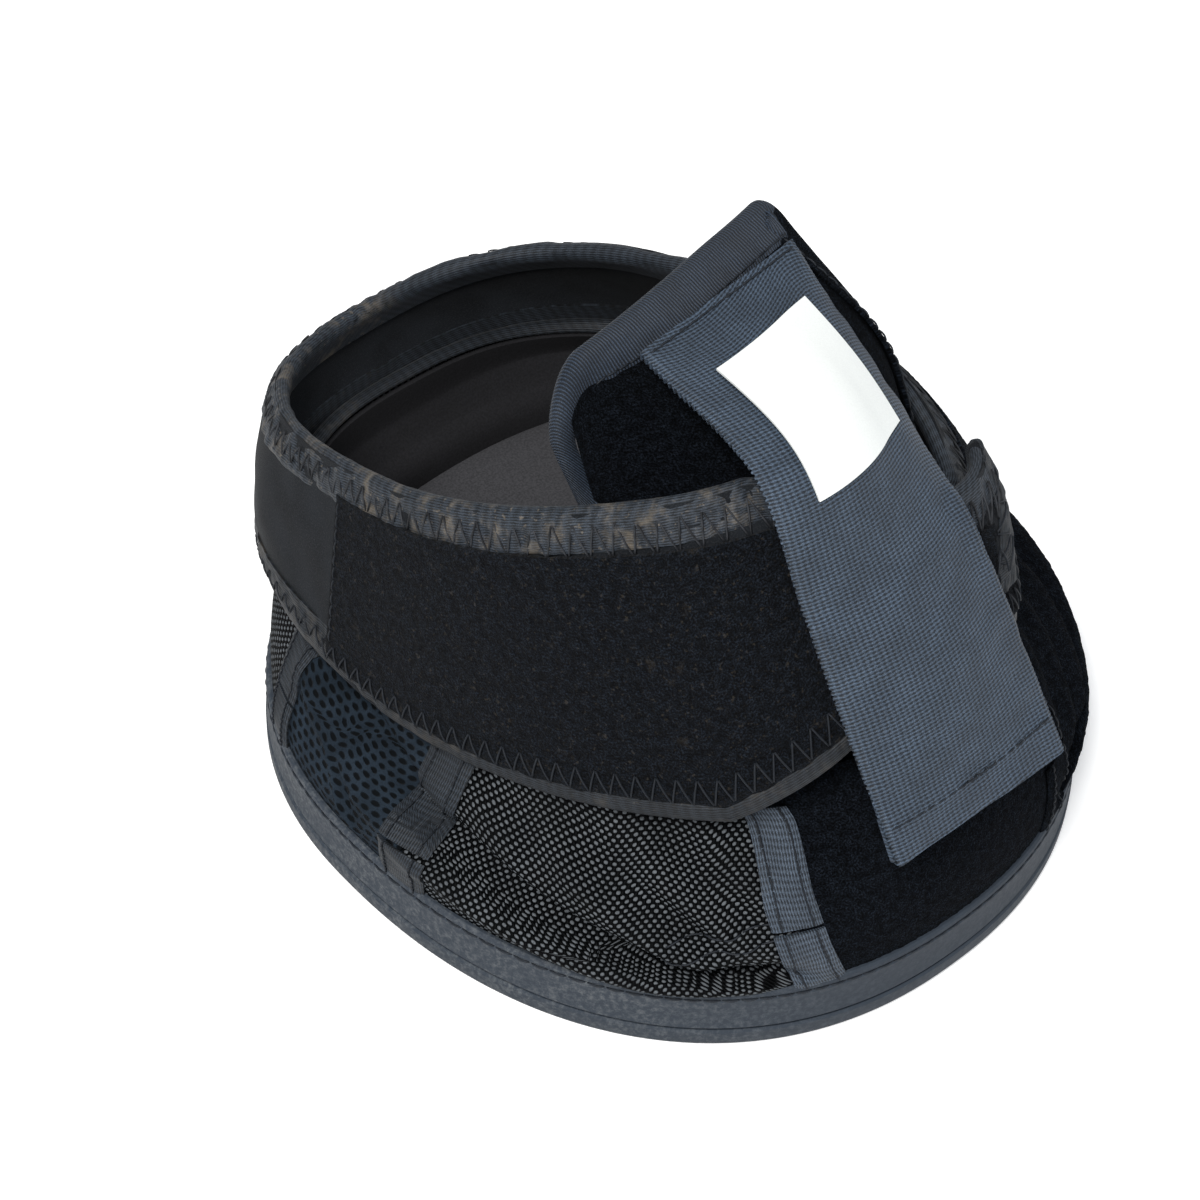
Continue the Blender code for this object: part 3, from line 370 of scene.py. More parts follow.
SINK_ANGLES = (math.radians(70), math.radians(38))
LIFT_ANGLES = (math.radians(46), math.radians(14))
ROLL_RISE_ANGLES = (math.radians(20), math.radians(40))
ROLL_FALL_ANGLES = (math.radians(122), math.radians(80))
EDGE_PINCH = 0.5 * MM
SEAM_GAP = 0.4 * MM
RAND_INSET = 0.2 * MM
LIP_THICKNESS = 1.3 * MM
TUCK_DROP = 1.4 * MM
TUCK_DROP_SHARE = 0.06
TUCK_RISE = 5.0 * MM
ROLL_BULGE = 3.6 * MM
CREASE_BULGE = 2.5 * MM
TOE_BULGE = 2.0 * MM
HEEL_BULGE = 0.9 * MM
ROLL_SHARE = 0.26
CREASE_SHARE = 0.59


def upper_sink(theta):
    c = cloth()
    under = c.neoprene - EDGE_PINCH + 3 * c.clearance + c.binding
    return under + seams().far_sink * smooth_step(*SINK_ANGLES, turn_from_toe(theta))


def upper_rows(theta):
    """Rows of points up the upper's outer face."""
    inset = RAND_INSET + shape().rand_thickness + SEAM_GAP
    foot = ring_point(sole_ring(inset, shape().flange_height + cloth().clearance), theta)
    lip = ring_point(sole_ring(RAND_INSET + LIP_THICKNESS, shape().rand_height), theta)
    height = band_height(theta)
    drop = TUCK_DROP + TUCK_DROP_SHARE * (collar(theta, theta * 0.0)[..., 2] - lip[..., 2])
    tuck = offset(cone, theta, -drop / height, -upper_sink(theta))
    rim = offset(cone, theta, TUCK_RISE / height, -upper_sink(theta))
    turn = turn_from_toe(theta)
    side = smooth_step(*ROLL_RISE_ANGLES, turn) * smooth_step(*ROLL_FALL_ANGLES, turn)
    plain = np.where(turn < math.pi / 2, TOE_BULGE, HEEL_BULGE)
    out = outward(theta)
    roll = lip + (tuck - lip) * ROLL_SHARE + out * (plain + (ROLL_BULGE - plain) * side)[..., None]
    crease = lip + (tuck - lip) * CREASE_SHARE
    crease = crease + out * (plain + (CREASE_BULGE - plain) * side)[..., None]
    return [foot, lip, roll, crease, tuck, rim]


def plain_upper(theta, v):
    theta, v = np.broadcast_arrays(theta, v)
    return chain(upper_rows(theta), v)


# Main fold of the slack upper: its row at angles from the toe
FOLD_ANGLES = tuple(math.radians(a) for a in (24, 34, 45, 60, 75, 90, 102, 112))
FOLD_ROWS = (1.1, 1.2, 1.5, 2.0, 2.6, 3.1, 3.5, 3.8)
FOLD_STAND = 2.6 * MM
FOLD_DEPTH = 4.4 * MM
FOLD_WIDTH_SHARE = 0.42
FOLD_START_ANGLES = (math.radians(22), math.radians(34))
FOLD_STOP_ANGLES = (math.radians(116), math.radians(104))
WRINKLES = (
    (36, 1.7, 62, 3.3, 1.9), (33, 2.2, 52, 3.7, 1.5), (30, 2.9, 44, 3.9, 1.0),
    (88, 1.3, 98, 3.0, 0.9), (64, 2.9, 78, 3.9, 0.8))


def fold_shift(turn, v):
    """How far the slack cloth stands out of its plain shape, or in."""
    line = np.interp(turn, FOLD_ANGLES, FOLD_ROWS)
    above = (v - line) / FOLD_WIDTH_SHARE
    below = np.where(above < 0, bump_at(above, -0.75, 0.9), bump_at(above, 0.0, 0.22) * 0.5)
    dent = np.where(above >= 0, bump_at(above, 0.45, 0.7), 0.0)
    shift = below * FOLD_STAND - dent * FOLD_DEPTH
    shift = shift * smooth_step(*FOLD_START_ANGLES, turn) * smooth_step(*FOLD_STOP_ANGLES, turn)
    for start, low, end, high, height in WRINKLES:
        along = (turn - math.radians(start)) / math.radians(end - start)
        ridge = low + (high - low) * along
        reach = smooth_step(-0.1, 0.2, along) * smooth_step(1.1, 0.8, along)
        ridge_shape = bump_at(v, ridge, 0.24) - 0.7 * bump_at(v, ridge + 0.42, 0.26)
        shift = shift + ridge_shape * reach * height * MM
    return shift * smooth_step(0.7, 1.25, v) * smooth_step(4.6, 3.9, v)


def upper(theta, v):
    """Outer face of the upper with its folds."""
    theta, v = np.broadcast_arrays(theta, v)
    shift = fold_shift(turn_from_toe(theta), v)
    return plain_upper(theta, v) + outward(theta) * shift[..., None]


def far_upper(theta, v):
    return upper(-theta, v)


def near_lift(theta):
    return seams().near_lift * smooth_step(*LIFT_ANGLES, theta)


END_SLANT = math.radians(-40)
END_SLANT_ANGLES = (math.radians(-8), math.radians(-38))
END_MIDDLE = 0.45


def near_face(theta, v):
    """Outer face of the near band, which laps over the far one and ends on a slant."""
    theta, v = np.broadcast_arrays(theta, v)
    slant = END_SLANT * smooth_step(*END_SLANT_ANGLES, theta) * (v - END_MIDDLE)
    return offset(collar, theta + slant, v, near_lift(theta))


def far_face(theta, v):
    """Outer face of the far band, by angles towards +X."""
    return offset(collar, -theta, v, -seams().far_sink * smooth_step(*SINK_ANGLES, theta))


def over_collar(x, v, distance):
    """Points at a place across, a distance outside the collar's front."""
    b = shape()
    half = b.low_half_width + (b.top_half_width - b.low_half_width) * v
    theta = -np.arcsin((x + b.top_lean * v) / (half + distance))
    return offset(collar, theta, v, distance)


TONGUE_LEVELS = (0.4, 0.7, 1.0)
TONGUE_NEAR_ANGLES = (math.radians(38), math.radians(51))
TONGUE_FAR_ANGLES = (math.radians(-36), math.radians(-54))
TONGUE_ROWS = 4


def plain_tongue(s, t):
    """Outer face of the tongue, s across from -X to +X and t up from its base."""
    s, t = np.broadcast_arrays(s, t)
    c = closure()
    rows = []
    for v in (c.tongue_base, *TONGUE_LEVELS):
        near = TONGUE_NEAR_ANGLES[0] + (TONGUE_NEAR_ANGLES[1] - TONGUE_NEAR_ANGLES[0]) * v
        far = TONGUE_FAR_ANGLES[0] + (TONGUE_FAR_ANGLES[1] - TONGUE_FAR_ANGLES[0]) * v
        lift = c.tongue_far_lift * smooth_step(0.35, 1.0, s) * (v if v > 0.9 else 0.0)
        rows.append(offset(collar, near + (far - near) * (s + 1) / 2, v, lift - c.tongue_depth))
    x = c.tongue_centre + s * c.tongue_half_width
    rows.append(np.stack((
        x, c.tongue_top_y + c.tongue_skew * x, c.tongue_top_z + c.tongue_tilt * x), axis=-1))
    return chain(rows, t)


def tongue(s, t):
    """Outer face of the tongue with its two top corners rounded off."""
    s, t = np.broadcast_arrays(s, t)
    c = closure()
    radius = np.where(s < 0, c.corner_round, c.far_corner_round)
    past = np.clip(1 - (1 - np.abs(s)) * c.tongue_half_width / radius, 0.0, 0.999)
    drop = radius * (1 - np.sqrt(1 - past ** 2))
    return plain_tongue(s, t * (1 - drop / c.tongue_rise))


STRAP_LEVELS = (1.05, 0.6, 0.2)
STRAP_ROWS = len(STRAP_LEVELS) + 1


def strap(s, t):
    """Outer face of the strap, s across and t from 0 at its seam to 1 at its end."""
    s, t = np.broadcast_arrays(s, t)
    c, k = closure(), cloth()
    stand = seams().near_lift + k.pile + c.hook + c.strap + 4 * k.clearance
    top_x = c.strap_top_x + s * c.strap_width / 2
    end_x = c.strap_end_x + s * c.strap_width / 2
    seam_y = c.strap_seam_y + c.strap_skew * top_x
    rows = [np.stack((top_x, seam_y, c.strap_seam_z + c.strap_tilt * top_x), axis=-1)]
    for index, v in enumerate(STRAP_LEVELS):
        part = (index + 1) / (len(STRAP_LEVELS) + 1)
        sag = c.strap_sag * ((s + 1) / 2) ** 2 if index == 0 else s * 0.0
        rows.append(over_collar(top_x + (end_x - top_x) * part, s * 0 + v, stand - sag))
    end = over_collar(s * 0 + c.strap_end_x, s * 0 + STRAP_LEVELS[-1], s * 0 + stand)
    rows.append(np.stack((
        end_x, end[..., 1] - c.strap_reach, end[..., 2] - c.strap_drop), axis=-1))
    return chain(rows, t * STRAP_ROWS)


# Meshes


def select_only(obj):
    bpy.ops.object.select_all(action="DESELECT")
    obj.select_set(True)
    bpy.context.view_layer.objects.active = obj


def apply_modifier(obj, modifier):
    select_only(obj)
    bpy.ops.object.modifier_apply(modifier=modifier.name)


def arc_lengths(points, axis):
    """Lengths along the rows or columns of a grid of points, from its middle."""
    steps = np.linalg.norm(np.diff(points, axis=axis), axis=-1)
    pad = [(0, 0), (0, 0)]
    pad[axis] = (1, 0)
    run = np.pad(np.cumsum(steps, axis=axis), pad)
    middle = np.take(run, [points.shape[axis] // 2], axis=axis)
    return run - middle


def run_lengths(points):
    """Length from the first point of a run to each of its points."""
    return np.concatenate(([0], np.cumsum(np.linalg.norm(np.diff(points, axis=0), axis=-1))))


def write_uv(mesh, pairs):
    """UV map in metres from one pair a vertex."""
    layer = mesh.uv_layers.active or mesh.uv_layers.new(name="UVMap")
    index = np.empty(len(mesh.loops), dtype=np.int32)
    mesh.loops.foreach_get("vertex_index", index)
    layer.data.foreach_set("uv", pairs[index].astype(np.float32).ravel())


def grid_object(name, points, lengths=None):
    """Object on a grid of points (columns, rows, 3), its UV map in metres."""
    columns, rows = points.shape[:2]
    bpy.ops.mesh.primitive_grid_add(x_subdivisions=columns - 1, y_subdivisions=rows - 1, size=1.0)
    obj = bpy.context.active_object
    obj.name = obj.data.name = name
    ordered = np.swapaxes(points, 0, 1).reshape(-1, 3)
    obj.data.vertices.foreach_set("co", ordered.astype(np.float32).ravel())
    if lengths is None:
        lengths = (arc_lengths(points, 0), arc_lengths(points, 1))
    pairs = np.stack([np.swapaxes(l, 0, 1).ravel() for l in lengths], axis=-1)
    write_uv(obj.data, pairs)
    obj.data.update()
    return obj


def face_out(obj):
    """Turns a closed object's faces outwards."""
    select_only(obj)
    bpy.ops.object.mode_set(mode="EDIT")
    bpy.ops.mesh.select_all(action="SELECT")
    bpy.ops.mesh.normals_make_consistent(inside=False)
    bpy.ops.object.mode_set(mode="OBJECT")


def smooth(obj, degrees=50):
    select_only(obj)
    bpy.ops.object.shade_smooth_by_angle(angle=math.radians(degrees))
    return obj


def merge(obj, reach=1e-6):
    select_only(obj)
    bpy.ops.object.mode_set(mode="EDIT")
    bpy.ops.mesh.select_all(action="SELECT")
    bpy.ops.mesh.remove_doubles(threshold=reach)
    bpy.ops.object.mode_set(mode="OBJECT")


def sheet_object(name, points, thickness, flip=False, closed=False, lengths=None):
    """Cloth of a thickness, whose outer face is a grid of points."""
    obj = grid_object(name, points, lengths)
    if closed:
        merge(obj)
    if flip:
        obj.data.flip_normals()
    solid = obj.modifiers.new("Thickness", "SOLIDIFY")
    solid.thickness = thickness
    solid.offset = -1.0
    solid.use_even_offset = False
    apply_modifier(obj, solid)
    return smooth(obj)


def shell_object(name, outer, inner, flip=False):
    """Closed shell between an outer and an inner grid of points."""
    ring = np.concatenate((outer, inner[:, ::-1], outer[:, :1]), axis=1)
    obj = grid_object(name, ring)
    merge(obj)
    select_only(obj)
    bpy.ops.object.mode_set(mode="EDIT")
    bpy.ops.mesh.select_all(action="SELECT")
    bpy.ops.mesh.select_non_manifold()
    bpy.ops.mesh.edge_face_add()
    bpy.ops.mesh.select_all(action="SELECT")
    bpy.ops.mesh.normals_make_consistent(inside=False)
    bpy.ops.object.mode_set(mode="OBJECT")
    return smooth(obj)


def flows_out(points, middle):
    """Whether a grid's faces already point away from a middle point."""
    a = points[1:, :-1] - points[:-1, :-1]
    b = points[:-1, 1:] - points[:-1, :-1]
    n = np.cross(a, b)
    return (n * (points[:-1, :-1] - middle)).sum() > 0


def noise(rng, columns, rows, coarse):
    """Smooth random field from -1 to 1 with cells of a size in steps."""
    nx, ny = int(columns / coarse) + 3, int(rows / coarse) + 3
    cells = rng.uniform(-1, 1, (nx, ny))
    x = np.linspace(0, nx - 1.001, columns)
    y = np.linspace(0, ny - 1.001, rows)
    ix, iy = x.astype(int), y.astype(int)
    fx, fy = x - ix, y - iy
    fx, fy = (fx * fx * (3 - 2 * fx))[:, None], (fy * fy * (3 - 2 * fy))[None, :]
    a, b = cells[ix][:, iy], cells[ix + 1][:, iy]
    c, d = cells[ix][:, iy + 1], cells[ix + 1][:, iy + 1]
    return (a * (1 - fx) + b * fx) * (1 - fy) + (c * (1 - fx) + d * fx) * fy


def fuzz(columns, rows, seed):
    """Height of a loop pile from 0 to 1 on a fine grid."""
    rng = np.random.default_rng(seed)
    fine = rng.uniform(-1, 1, (columns, rows))
    return 0.5 + 0.28 * fine + 0.22 * noise(rng, columns, rows, 2.2)


def slanted(start, end, columns, rows_low, rows_high, rows):
    """Grid of (theta, v) between two slanted seams, given as (sole, collar) angles."""
    share_across = np.linspace(0, 1, columns)[:, None]
    v = np.linspace(rows_low, rows_high, rows)[None, :]
    slant = v / UPPER_ROWS
    low = start[0] + (start[1] - start[0]) * slant
    high = end[0] + (end[1] - end[0]) * slant
    return low + (high - low) * share_across, v + share_across * 0


def tubes_object(name, paths, radius, sides=5):
    """One mesh of thread lengths; paths is (threads, points, 3)."""
    paths = np.asarray(paths, dtype=float)
    count, steps = paths.shape[:2]
    ahead = np.gradient(paths, axis=1)
    ahead /= np.maximum(np.linalg.norm(ahead, axis=-1, keepdims=True), 1e-12)
    chord = paths[:, -1] - paths[:, 0]
    bow = paths[:, steps // 2] - (paths[:, 0] + paths[:, -1]) / 2
    flat = np.linalg.norm(bow, axis=-1, keepdims=True) < 1e-6
    bow = np.where(flat, np.array((0.1, 0.2, 1.0)), bow)
    side = np.cross(chord, bow)[:, None, :]
    side = side / np.maximum(np.linalg.norm(side, axis=-1, keepdims=True), 1e-12)
    up = np.cross(side, ahead)
    up /= np.maximum(np.linalg.norm(up, axis=-1, keepdims=True), 1e-12)
    turns = np.linspace(0, 2 * math.pi, sides, endpoint=False)
    ring = side[:, :, None, :] * np.cos(turns)[:, None] + up[:, :, None, :] * np.sin(turns)[:, None]
    points = (paths[:, :, None, :] + ring * radius).reshape(-1, 3)
    thread, i, j = np.meshgrid(
        np.arange(count), np.arange(steps - 1), np.arange(sides), indexing="ij")
    base = thread * steps * sides
    k = (j + 1) % sides
    quads = np.stack((
        base + i * sides + j, base + i * sides + k, base + (i + 1) * sides + k,
        base + (i + 1) * sides + j), axis=-1).reshape(-1, 4)
    mesh = bpy.data.meshes.new(name)
    starts = np.arange(count) * steps * sides
    caps = [tuple(s + np.arange(sides)[::-1]) for s in starts]
    caps += [tuple(s + (steps - 1) * sides + np.arange(sides)) for s in starts]
    mesh.from_pydata(points.tolist(), [], [tuple(q) for q in quads.tolist()] + caps)
    mesh.update()
    obj = bpy.data.objects.new(name, mesh)
    bpy.context.collection.objects.link(obj)
    face_out(obj)
    mesh.shade_smooth()
    return obj


def stitch_paths(surface, stops, height, bulge, side=1, steps=6, gap=0.12):
    """Thread paths between following stops (a, b), sunk at their ends."""
    stops = np.asarray(stops, dtype=float)
    part = np.linspace(gap / 2, 1 - gap / 2, steps)[None, :]
    start, end = stops[:-1, None, :], stops[1:, None, :]
    where = start + (end - start) * part[..., None]
    arch = np.sin(math.pi * (part - gap / 2) / (1 - gap)) * bulge - bulge * 0.45
    tall = height + np.broadcast_to(arch, where.shape[:2])
    return offset(surface, where[..., 0], where[..., 1], tall, side)


def lock_stops(surface, start, end, pitch, count=None):
    """Stops of a straight seam from (a, b) to (a, b), a pitch apart."""
    part = np.linspace(0, 1, 60)
    start, end = np.asarray(start, dtype=float), np.asarray(end, dtype=float)
    where = start + (end - start) * part[:, None]
    points = surface(where[:, 0], where[:, 1])
    run = run_lengths(points)
    count = count or max(int(run[-1] / pitch), 2)
    at = np.interp(np.linspace(0, run[-1], count + 1), run, part)
    return start + (end - start) * at[:, None]


def finish_piece(obj, material, body, *nodes, slot=None):
    """Material, body and the CAD nodes that a piece stands for; given a blend as body, the piece goes on no
    body and only has its transform baked.
    """
    obj.data.materials.clear()
    obj.data.materials.append(material)
    if isinstance(body, tuple):
        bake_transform(obj)
    else:
        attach(obj, body)
    if nodes:
        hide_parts(*nodes)
    return obj


def sew(name, paths, finish, body, radius=None):
    """Threads along paths, on a body; given a blend, on no body, with their transform baked."""
    threads = tubes_object(name, paths, radius or cloth().thread)
    finish_piece(threads, finishes[finish], body)


def declare_sheet(points):
    """Measures the flat size that a sheet's grid of points spans; nothing is declared."""
    across_steps, along_steps = (np.diff(points, axis=axis) for axis in (0, 1))
    across = np.linalg.norm(across_steps, axis=-1).sum(axis=0).max()
    along = np.linalg.norm(along_steps, axis=-1).sum(axis=1).max()
    if min(across, along) < NARROW:
        return


# Finishes


finishes = {}


class Tree:
    """Short way to build a material's nodes."""

    def __init__(self, name):
        self.material = bpy.data.materials.get(name) or bpy.data.materials.new(name)
        self.material.use_nodes = True
        self.tree = self.material.node_tree
        self.tree.nodes.clear()
        self.shader = self.add("ShaderNodeBsdfPrincipled")
        out = self.add("ShaderNodeOutputMaterial")
        self.link(self.shader.outputs["BSDF"], out.inputs["Surface"])

    def add(self, kind, **settings):
        node = self.tree.nodes.new(kind)
        for key, value in settings.items():
            setattr(node, key, value)
        return node

    def link(self, source, target):
        self.tree.links.new(source, target)

    def put(self, value, socket):
        if isinstance(value, bpy.types.NodeSocket):
            self.link(value, socket)
        elif isinstance(value, (tuple, list)) and len(value) < len(socket.default_value):
            socket.default_value = (*value, 1.0)
        else:
            socket.default_value = value

    def math(self, operation, a, b=0.0, c=0.0):
        node = self.add("ShaderNodeMath", operation=operation)
        for socket, value in zip(node.inputs, (a, b, c)):
            self.put(value, socket)
        return node.outputs[0]

    def mix(self, factor, a, b):
        node = self.add("ShaderNodeMix", data_type="RGBA")
        self.put(factor, node.inputs["Factor"])
        self.put(a, node.inputs[6])
        self.put(b, node.inputs[7])
        return node.outputs[2]

    def times(self, *values):
        """Product of values."""
        result = values[0]
        for value in values[1:]:
            result = self.math("MULTIPLY", result, value)
        return result

    def shaded(self, base, shade):
        """Base colour times a value."""
        node = self.add("ShaderNodeMix", data_type="RGBA", blend_type="MULTIPLY")
        node.inputs["Factor"].default_value = 1.0
        self.put(tuple(base), node.inputs[6])
        self.link(shade, node.inputs[7])
        return node.outputs[2]

    def ramp(self, value, low, high, start=0.0, end=1.0):
        node = self.add("ShaderNodeMapRange", interpolation_type="SMOOTHSTEP")
        for socket, item in zip(node.inputs, (value, low, high, start, end)):
            self.put(item, socket)
        return node.outputs[0]

    def uv(self):
        node = self.add("ShaderNodeUVMap", uv_map="UVMap")
        split = self.add("ShaderNodeSeparateXYZ")
        self.link(node.outputs["UV"], split.inputs[0])
        return node.outputs["UV"], split.outputs["X"], split.outputs["Y"]

    def place(self):
        return self.add("ShaderNodeTexCoord").outputs["Object"]

    def along_x(self, place):
        split = self.add("ShaderNodeSeparateXYZ")
        self.link(place, split.inputs[0])
        return split.outputs["X"]

    def noise(self, coords, size, detail=3.0, rough=0.55):
        """Noise whose cells are about a size in metres, from 0 to 1."""
        node = self.add("ShaderNodeTexNoise")
        self.link(coords, node.inputs["Vector"])
        node.inputs["Scale"].default_value = 1.0 / size
        node.inputs["Detail"].default_value = detail
        node.inputs["Roughness"].default_value = rough
        return node.outputs["Fac"]

    def bump(self, height, distance, strength=1.0, under=None):
        node = self.add("ShaderNodeBump")
        node.inputs["Strength"].default_value = strength
        node.inputs["Distance"].default_value = distance
        self.link(height, node.inputs["Height"])
        if under:
            self.link(under, node.inputs["Normal"])
        return node.outputs["Normal"]

    def finish(self, colour, rough, normal=None, sheen=0.0, sheen_rough=0.5, specular=0.3):
        s = self.shader
        self.put(colour, s.inputs["Base Color"])
        self.put(rough, s.inputs["Roughness"])
        s.inputs["Specular IOR Level"].default_value = specular
        s.inputs["Sheen Weight"].default_value = sheen
        s.inputs["Sheen Roughness"].default_value = sheen_rough
        if normal:
            self.link(normal, s.inputs["Normal"])
        return self.material


def scaled(base, factor):
    return tuple(channel * factor for channel in base)


def dusted(t, base, dust, amount, size=6e-3, low=0.5, high=0.72):
    """Base colour with patches and specks of dried dust."""
    place = t.place()
    near = t.ramp(t.along_x(place), 5e-3, -12e-3)
    patches = t.ramp(t.noise(place, size, 5.0, 0.65), low, high, 0.0, amount)
    specks = t.ramp(t.noise(place, 0.9e-3, 2.0, 0.6), 0.6, 0.75, 0.0, amount)
    cover = t.math("MAXIMUM", patches, t.times(specks, 0.8))
    return t.mix(t.times(cover, near), base, dust)


def rubber_finish():
    t = Tree("Sole rubber")
    place = t.place()
    # near: painted highlight, rising from the far side to the near side, which the lamps light
    near = t.ramp(t.along_x(place), -5e-3, -60e-3)
    grain = t.noise(place, 1.1e-3, 6.0, 0.75)
    cloudy = t.noise(place, 12e-3, 4.0, 0.6)
    # Dust grains, spread wider on the near side as part of the painted highlight
    spread = t.math("ADD", 0.25, t.times(near, 0.5))
    amount = t.times(t.ramp(grain, 0.42, 0.7), spread, t.ramp(cloudy, 0.3, 0.65, 0.45, 1.0))
    # Painted highlight: base and pale dust colours painted lighter on the near side
    base = t.mix(near, tuple(colours().rubber), scaled(colours().rubber, 1.15))
    pale = t.mix(near, (0.042, 0.058, 0.080), (0.135, 0.146, 0.155))
    colour = t.mix(amount, base, pale)
    normal = t.bump(t.noise(place, 0.5e-3, 3.0, 0.6), 0.05e-3, 0.7)
    return t.finish(colour, t.ramp(grain, 0.3, 0.7, 0.68, 0.56), normal, specular=0.22)


def nylon_finish():
    """Coarse plain weave, row by row staggered: oval yarns on top with a painted highlight, the yarns between
    them in painted shade.
    """
    t = Tree("Coarse nylon")
    coords, u, v = t.uv()
    wobble = t.times(t.math("SUBTRACT", t.noise(coords, 3e-3, 2.0), 0.5), 0.5e-3)
    u = t.math("DIVIDE", t.math("ADD", u, wobble), 0.74e-3)
    v = t.math("DIVIDE", t.math("ADD", v, wobble), 0.80e-3)
    parity = t.math("PINGPONG", t.math("ADD", t.math("FLOOR", u), t.math("FLOOR", v)), 1.0)
    fu = t.math("SUBTRACT", t.math("FRACT", u), 0.5)
    fv = t.math("SUBTRACT", t.math("FRACT", v), 0.5)
    uu, vv = t.times(fu, fu), t.times(fv, fv)
    flat = t.math("ADD", t.times(uu, 2.2), t.times(vv, 4.2))
    tall = t.math("ADD", t.times(uu, 4.2), t.times(vv, 2.2))
    weft = t.math("SUBTRACT", 1.0, flat)
    warp = t.math("SUBTRACT", 1.0, tall)
    height = t.math("ADD", t.times(weft, parity),
                    t.times(warp, t.math("SUBTRACT", 1.0, parity)))
    fibre = t.ramp(t.noise(coords, 0.25e-3, 2.0, 0.7), 0.3, 0.7, 0.65, 1.25)
    worn = t.ramp(t.noise(coords, 9e-3, 3.0), 0.3, 0.7, 0.7, 1.2)
    # lit: where the painted highlight lies on the top yarns; elsewhere the yarn takes the painted shade colour
    lit = t.times(t.ramp(weft, 0.15, 0.75), parity, fibre, worn)
    colour = t.mix(lit, tuple(colours().nylon_painted_shade), tuple(colours().nylon))
    normal = t.bump(height, 0.3e-3, 0.9)
    return t.finish(colour, 0.6, normal, sheen=0.0, specular=0.06)


def mesh_finish():
    """Spacer mesh with slits in staggered rows, painted near black as shade in the holes."""
    t = Tree("Air mesh")
    coords, u, v = t.uv()
    u = t.math("DIVIDE", u, 2.6e-3)
    v = t.math("DIVIDE", v, 1.5e-3)
    row = t.math("FLOOR", v)
    odd = t.times(t.math("PINGPONG", row, 1.0), 0.5)
    fu = t.math("SUBTRACT", t.math("FRACT", t.math("ADD", u, odd)), 0.5)
    fv = t.math("SUBTRACT", t.math("FRACT", v), 0.5)
    far = t.math("ADD", t.times(t.times(fu, fu), 6.5),
                 t.times(t.times(fv, fv), 11.0))
    far = t.math("ADD", far, t.times(t.noise(coords, 1.1e-3, 2.0), 0.5))
    wall = t.ramp(far, 0.6, 1.5)
    fibre = t.ramp(t.noise(coords, 0.35e-3, 3.0, 0.7), 0.3, 0.7, 0.6, 1.4)
    cloudy = t.ramp(t.noise(coords, 8e-3, 3.0), 0.3, 0.7)
    base = t.mix(cloudy, scaled(colours().mesh, 0.75), scaled(colours().mesh, 1.3))
    # Painted shade: near black in the slits, the mesh's colour on the walls
    colour = t.mix(t.times(wall, fibre), (0.003, 0.004, 0.005), base)
    normal = t.bump(wall, 0.5e-3, 0.9)
    return t.finish(colour, 0.8, normal, sheen=0.01, specular=0.06)


def pile_finish(name, base, sheen=0.01, dust=0.0):
    """Brushed loops: deep dark cloth with hairy ends, the loops' tips painted with highlight and the hollows
    between them with shade.
    """
    t = Tree(name)
    coords, u, v = t.uv()
    hair = t.noise(coords, 0.35e-3, 4.0, 0.75)
    clump = t.noise(coords, 1.6e-3, 4.0, 0.65)
    # Painted highlight on the loop tips and painted shade between them, from the hair noise; the clumps vary
    # the tone
    colour = t.shaded(base, t.times(
        t.ramp(hair, 0.42, 0.68, 0.2, 3.4), t.ramp(clump, 0.35, 0.65, 0.5, 1.5)))
    if dust:
        colour = dusted(t, colour, tuple(colours().dust), dust, 5e-3, 0.6, 0.8)
    normal = t.bump(hair, 0.35e-3, 0.9, t.bump(clump, 0.6e-3, 0.8))
    return t.finish(colour, 0.95, normal, sheen=sheen, sheen_rough=0.6, specular=0.02)


def webbing_finish(name, base, rows, across, depth, sheen=0.02, dust=0.0, stiff=0.6,
                   row_weight=0.5, cord_weight=0.28):
    """Woven tape: rows a pitch apart along V, cords a pitch apart along U."""
    t = Tree(name)
    coords, u, v = t.uv()
    wobble = t.times(t.math("SUBTRACT", t.noise(coords, 1.5e-3, 2.0), 0.5), rows * 0.7)
    line = t.math("SINE", t.times(t.math("ADD", v, wobble), 2 * math.pi / rows))
    cord = t.math("SINE", t.times(u, 2 * math.pi / across))
    height = t.math("ADD", t.times(line, row_weight), t.times(cord, cord_weight))
    fibre = t.noise(coords, 0.22e-3, 3.0, 0.7)
    cloudy = t.ramp(t.noise(coords, 7e-3, 3.0), 0.3, 0.7, 0.85, 1.15)
    # Painted highlight on the ribs and painted shade in the grooves, from the bump's height; fibre and cloudy
    # vary the tone
    colour = t.shaded(base, t.times(
        t.ramp(height, -0.6, 0.5, 0.25, 1.5), t.ramp(fibre, 0.35, 0.65, 0.5, 1.5), cloudy))
    if dust:
        colour = dusted(t, colour, tuple(colours().dust), dust)
    normal = t.bump(height, depth, 0.8)
    return t.finish(colour, stiff, normal, sheen=sheen, specular=0.3)


def neoprene_finish():
    t = Tree("Neoprene")
    coords, u, v = t.uv()
    knit = t.noise(coords, 0.3e-3, 3.0, 0.7)
    cloudy = t.noise(coords, 9e-3, 3.0)
    dark, light = scaled(colours().neoprene, 0.85), scaled(colours().neoprene, 1.4)
    shade = t.mix(t.ramp(cloudy, 0.3, 0.7), dark, light)
    colour = t.mix(t.ramp(knit, 0.45, 0.8, 0.0, 0.5), shade, (0.05, 0.053, 0.058))
    normal = t.bump(knit, 0.12e-3, 0.7)
    return t.finish(colour, 0.8, normal, sheen=0.03, sheen_rough=0.5, specular=0.1)


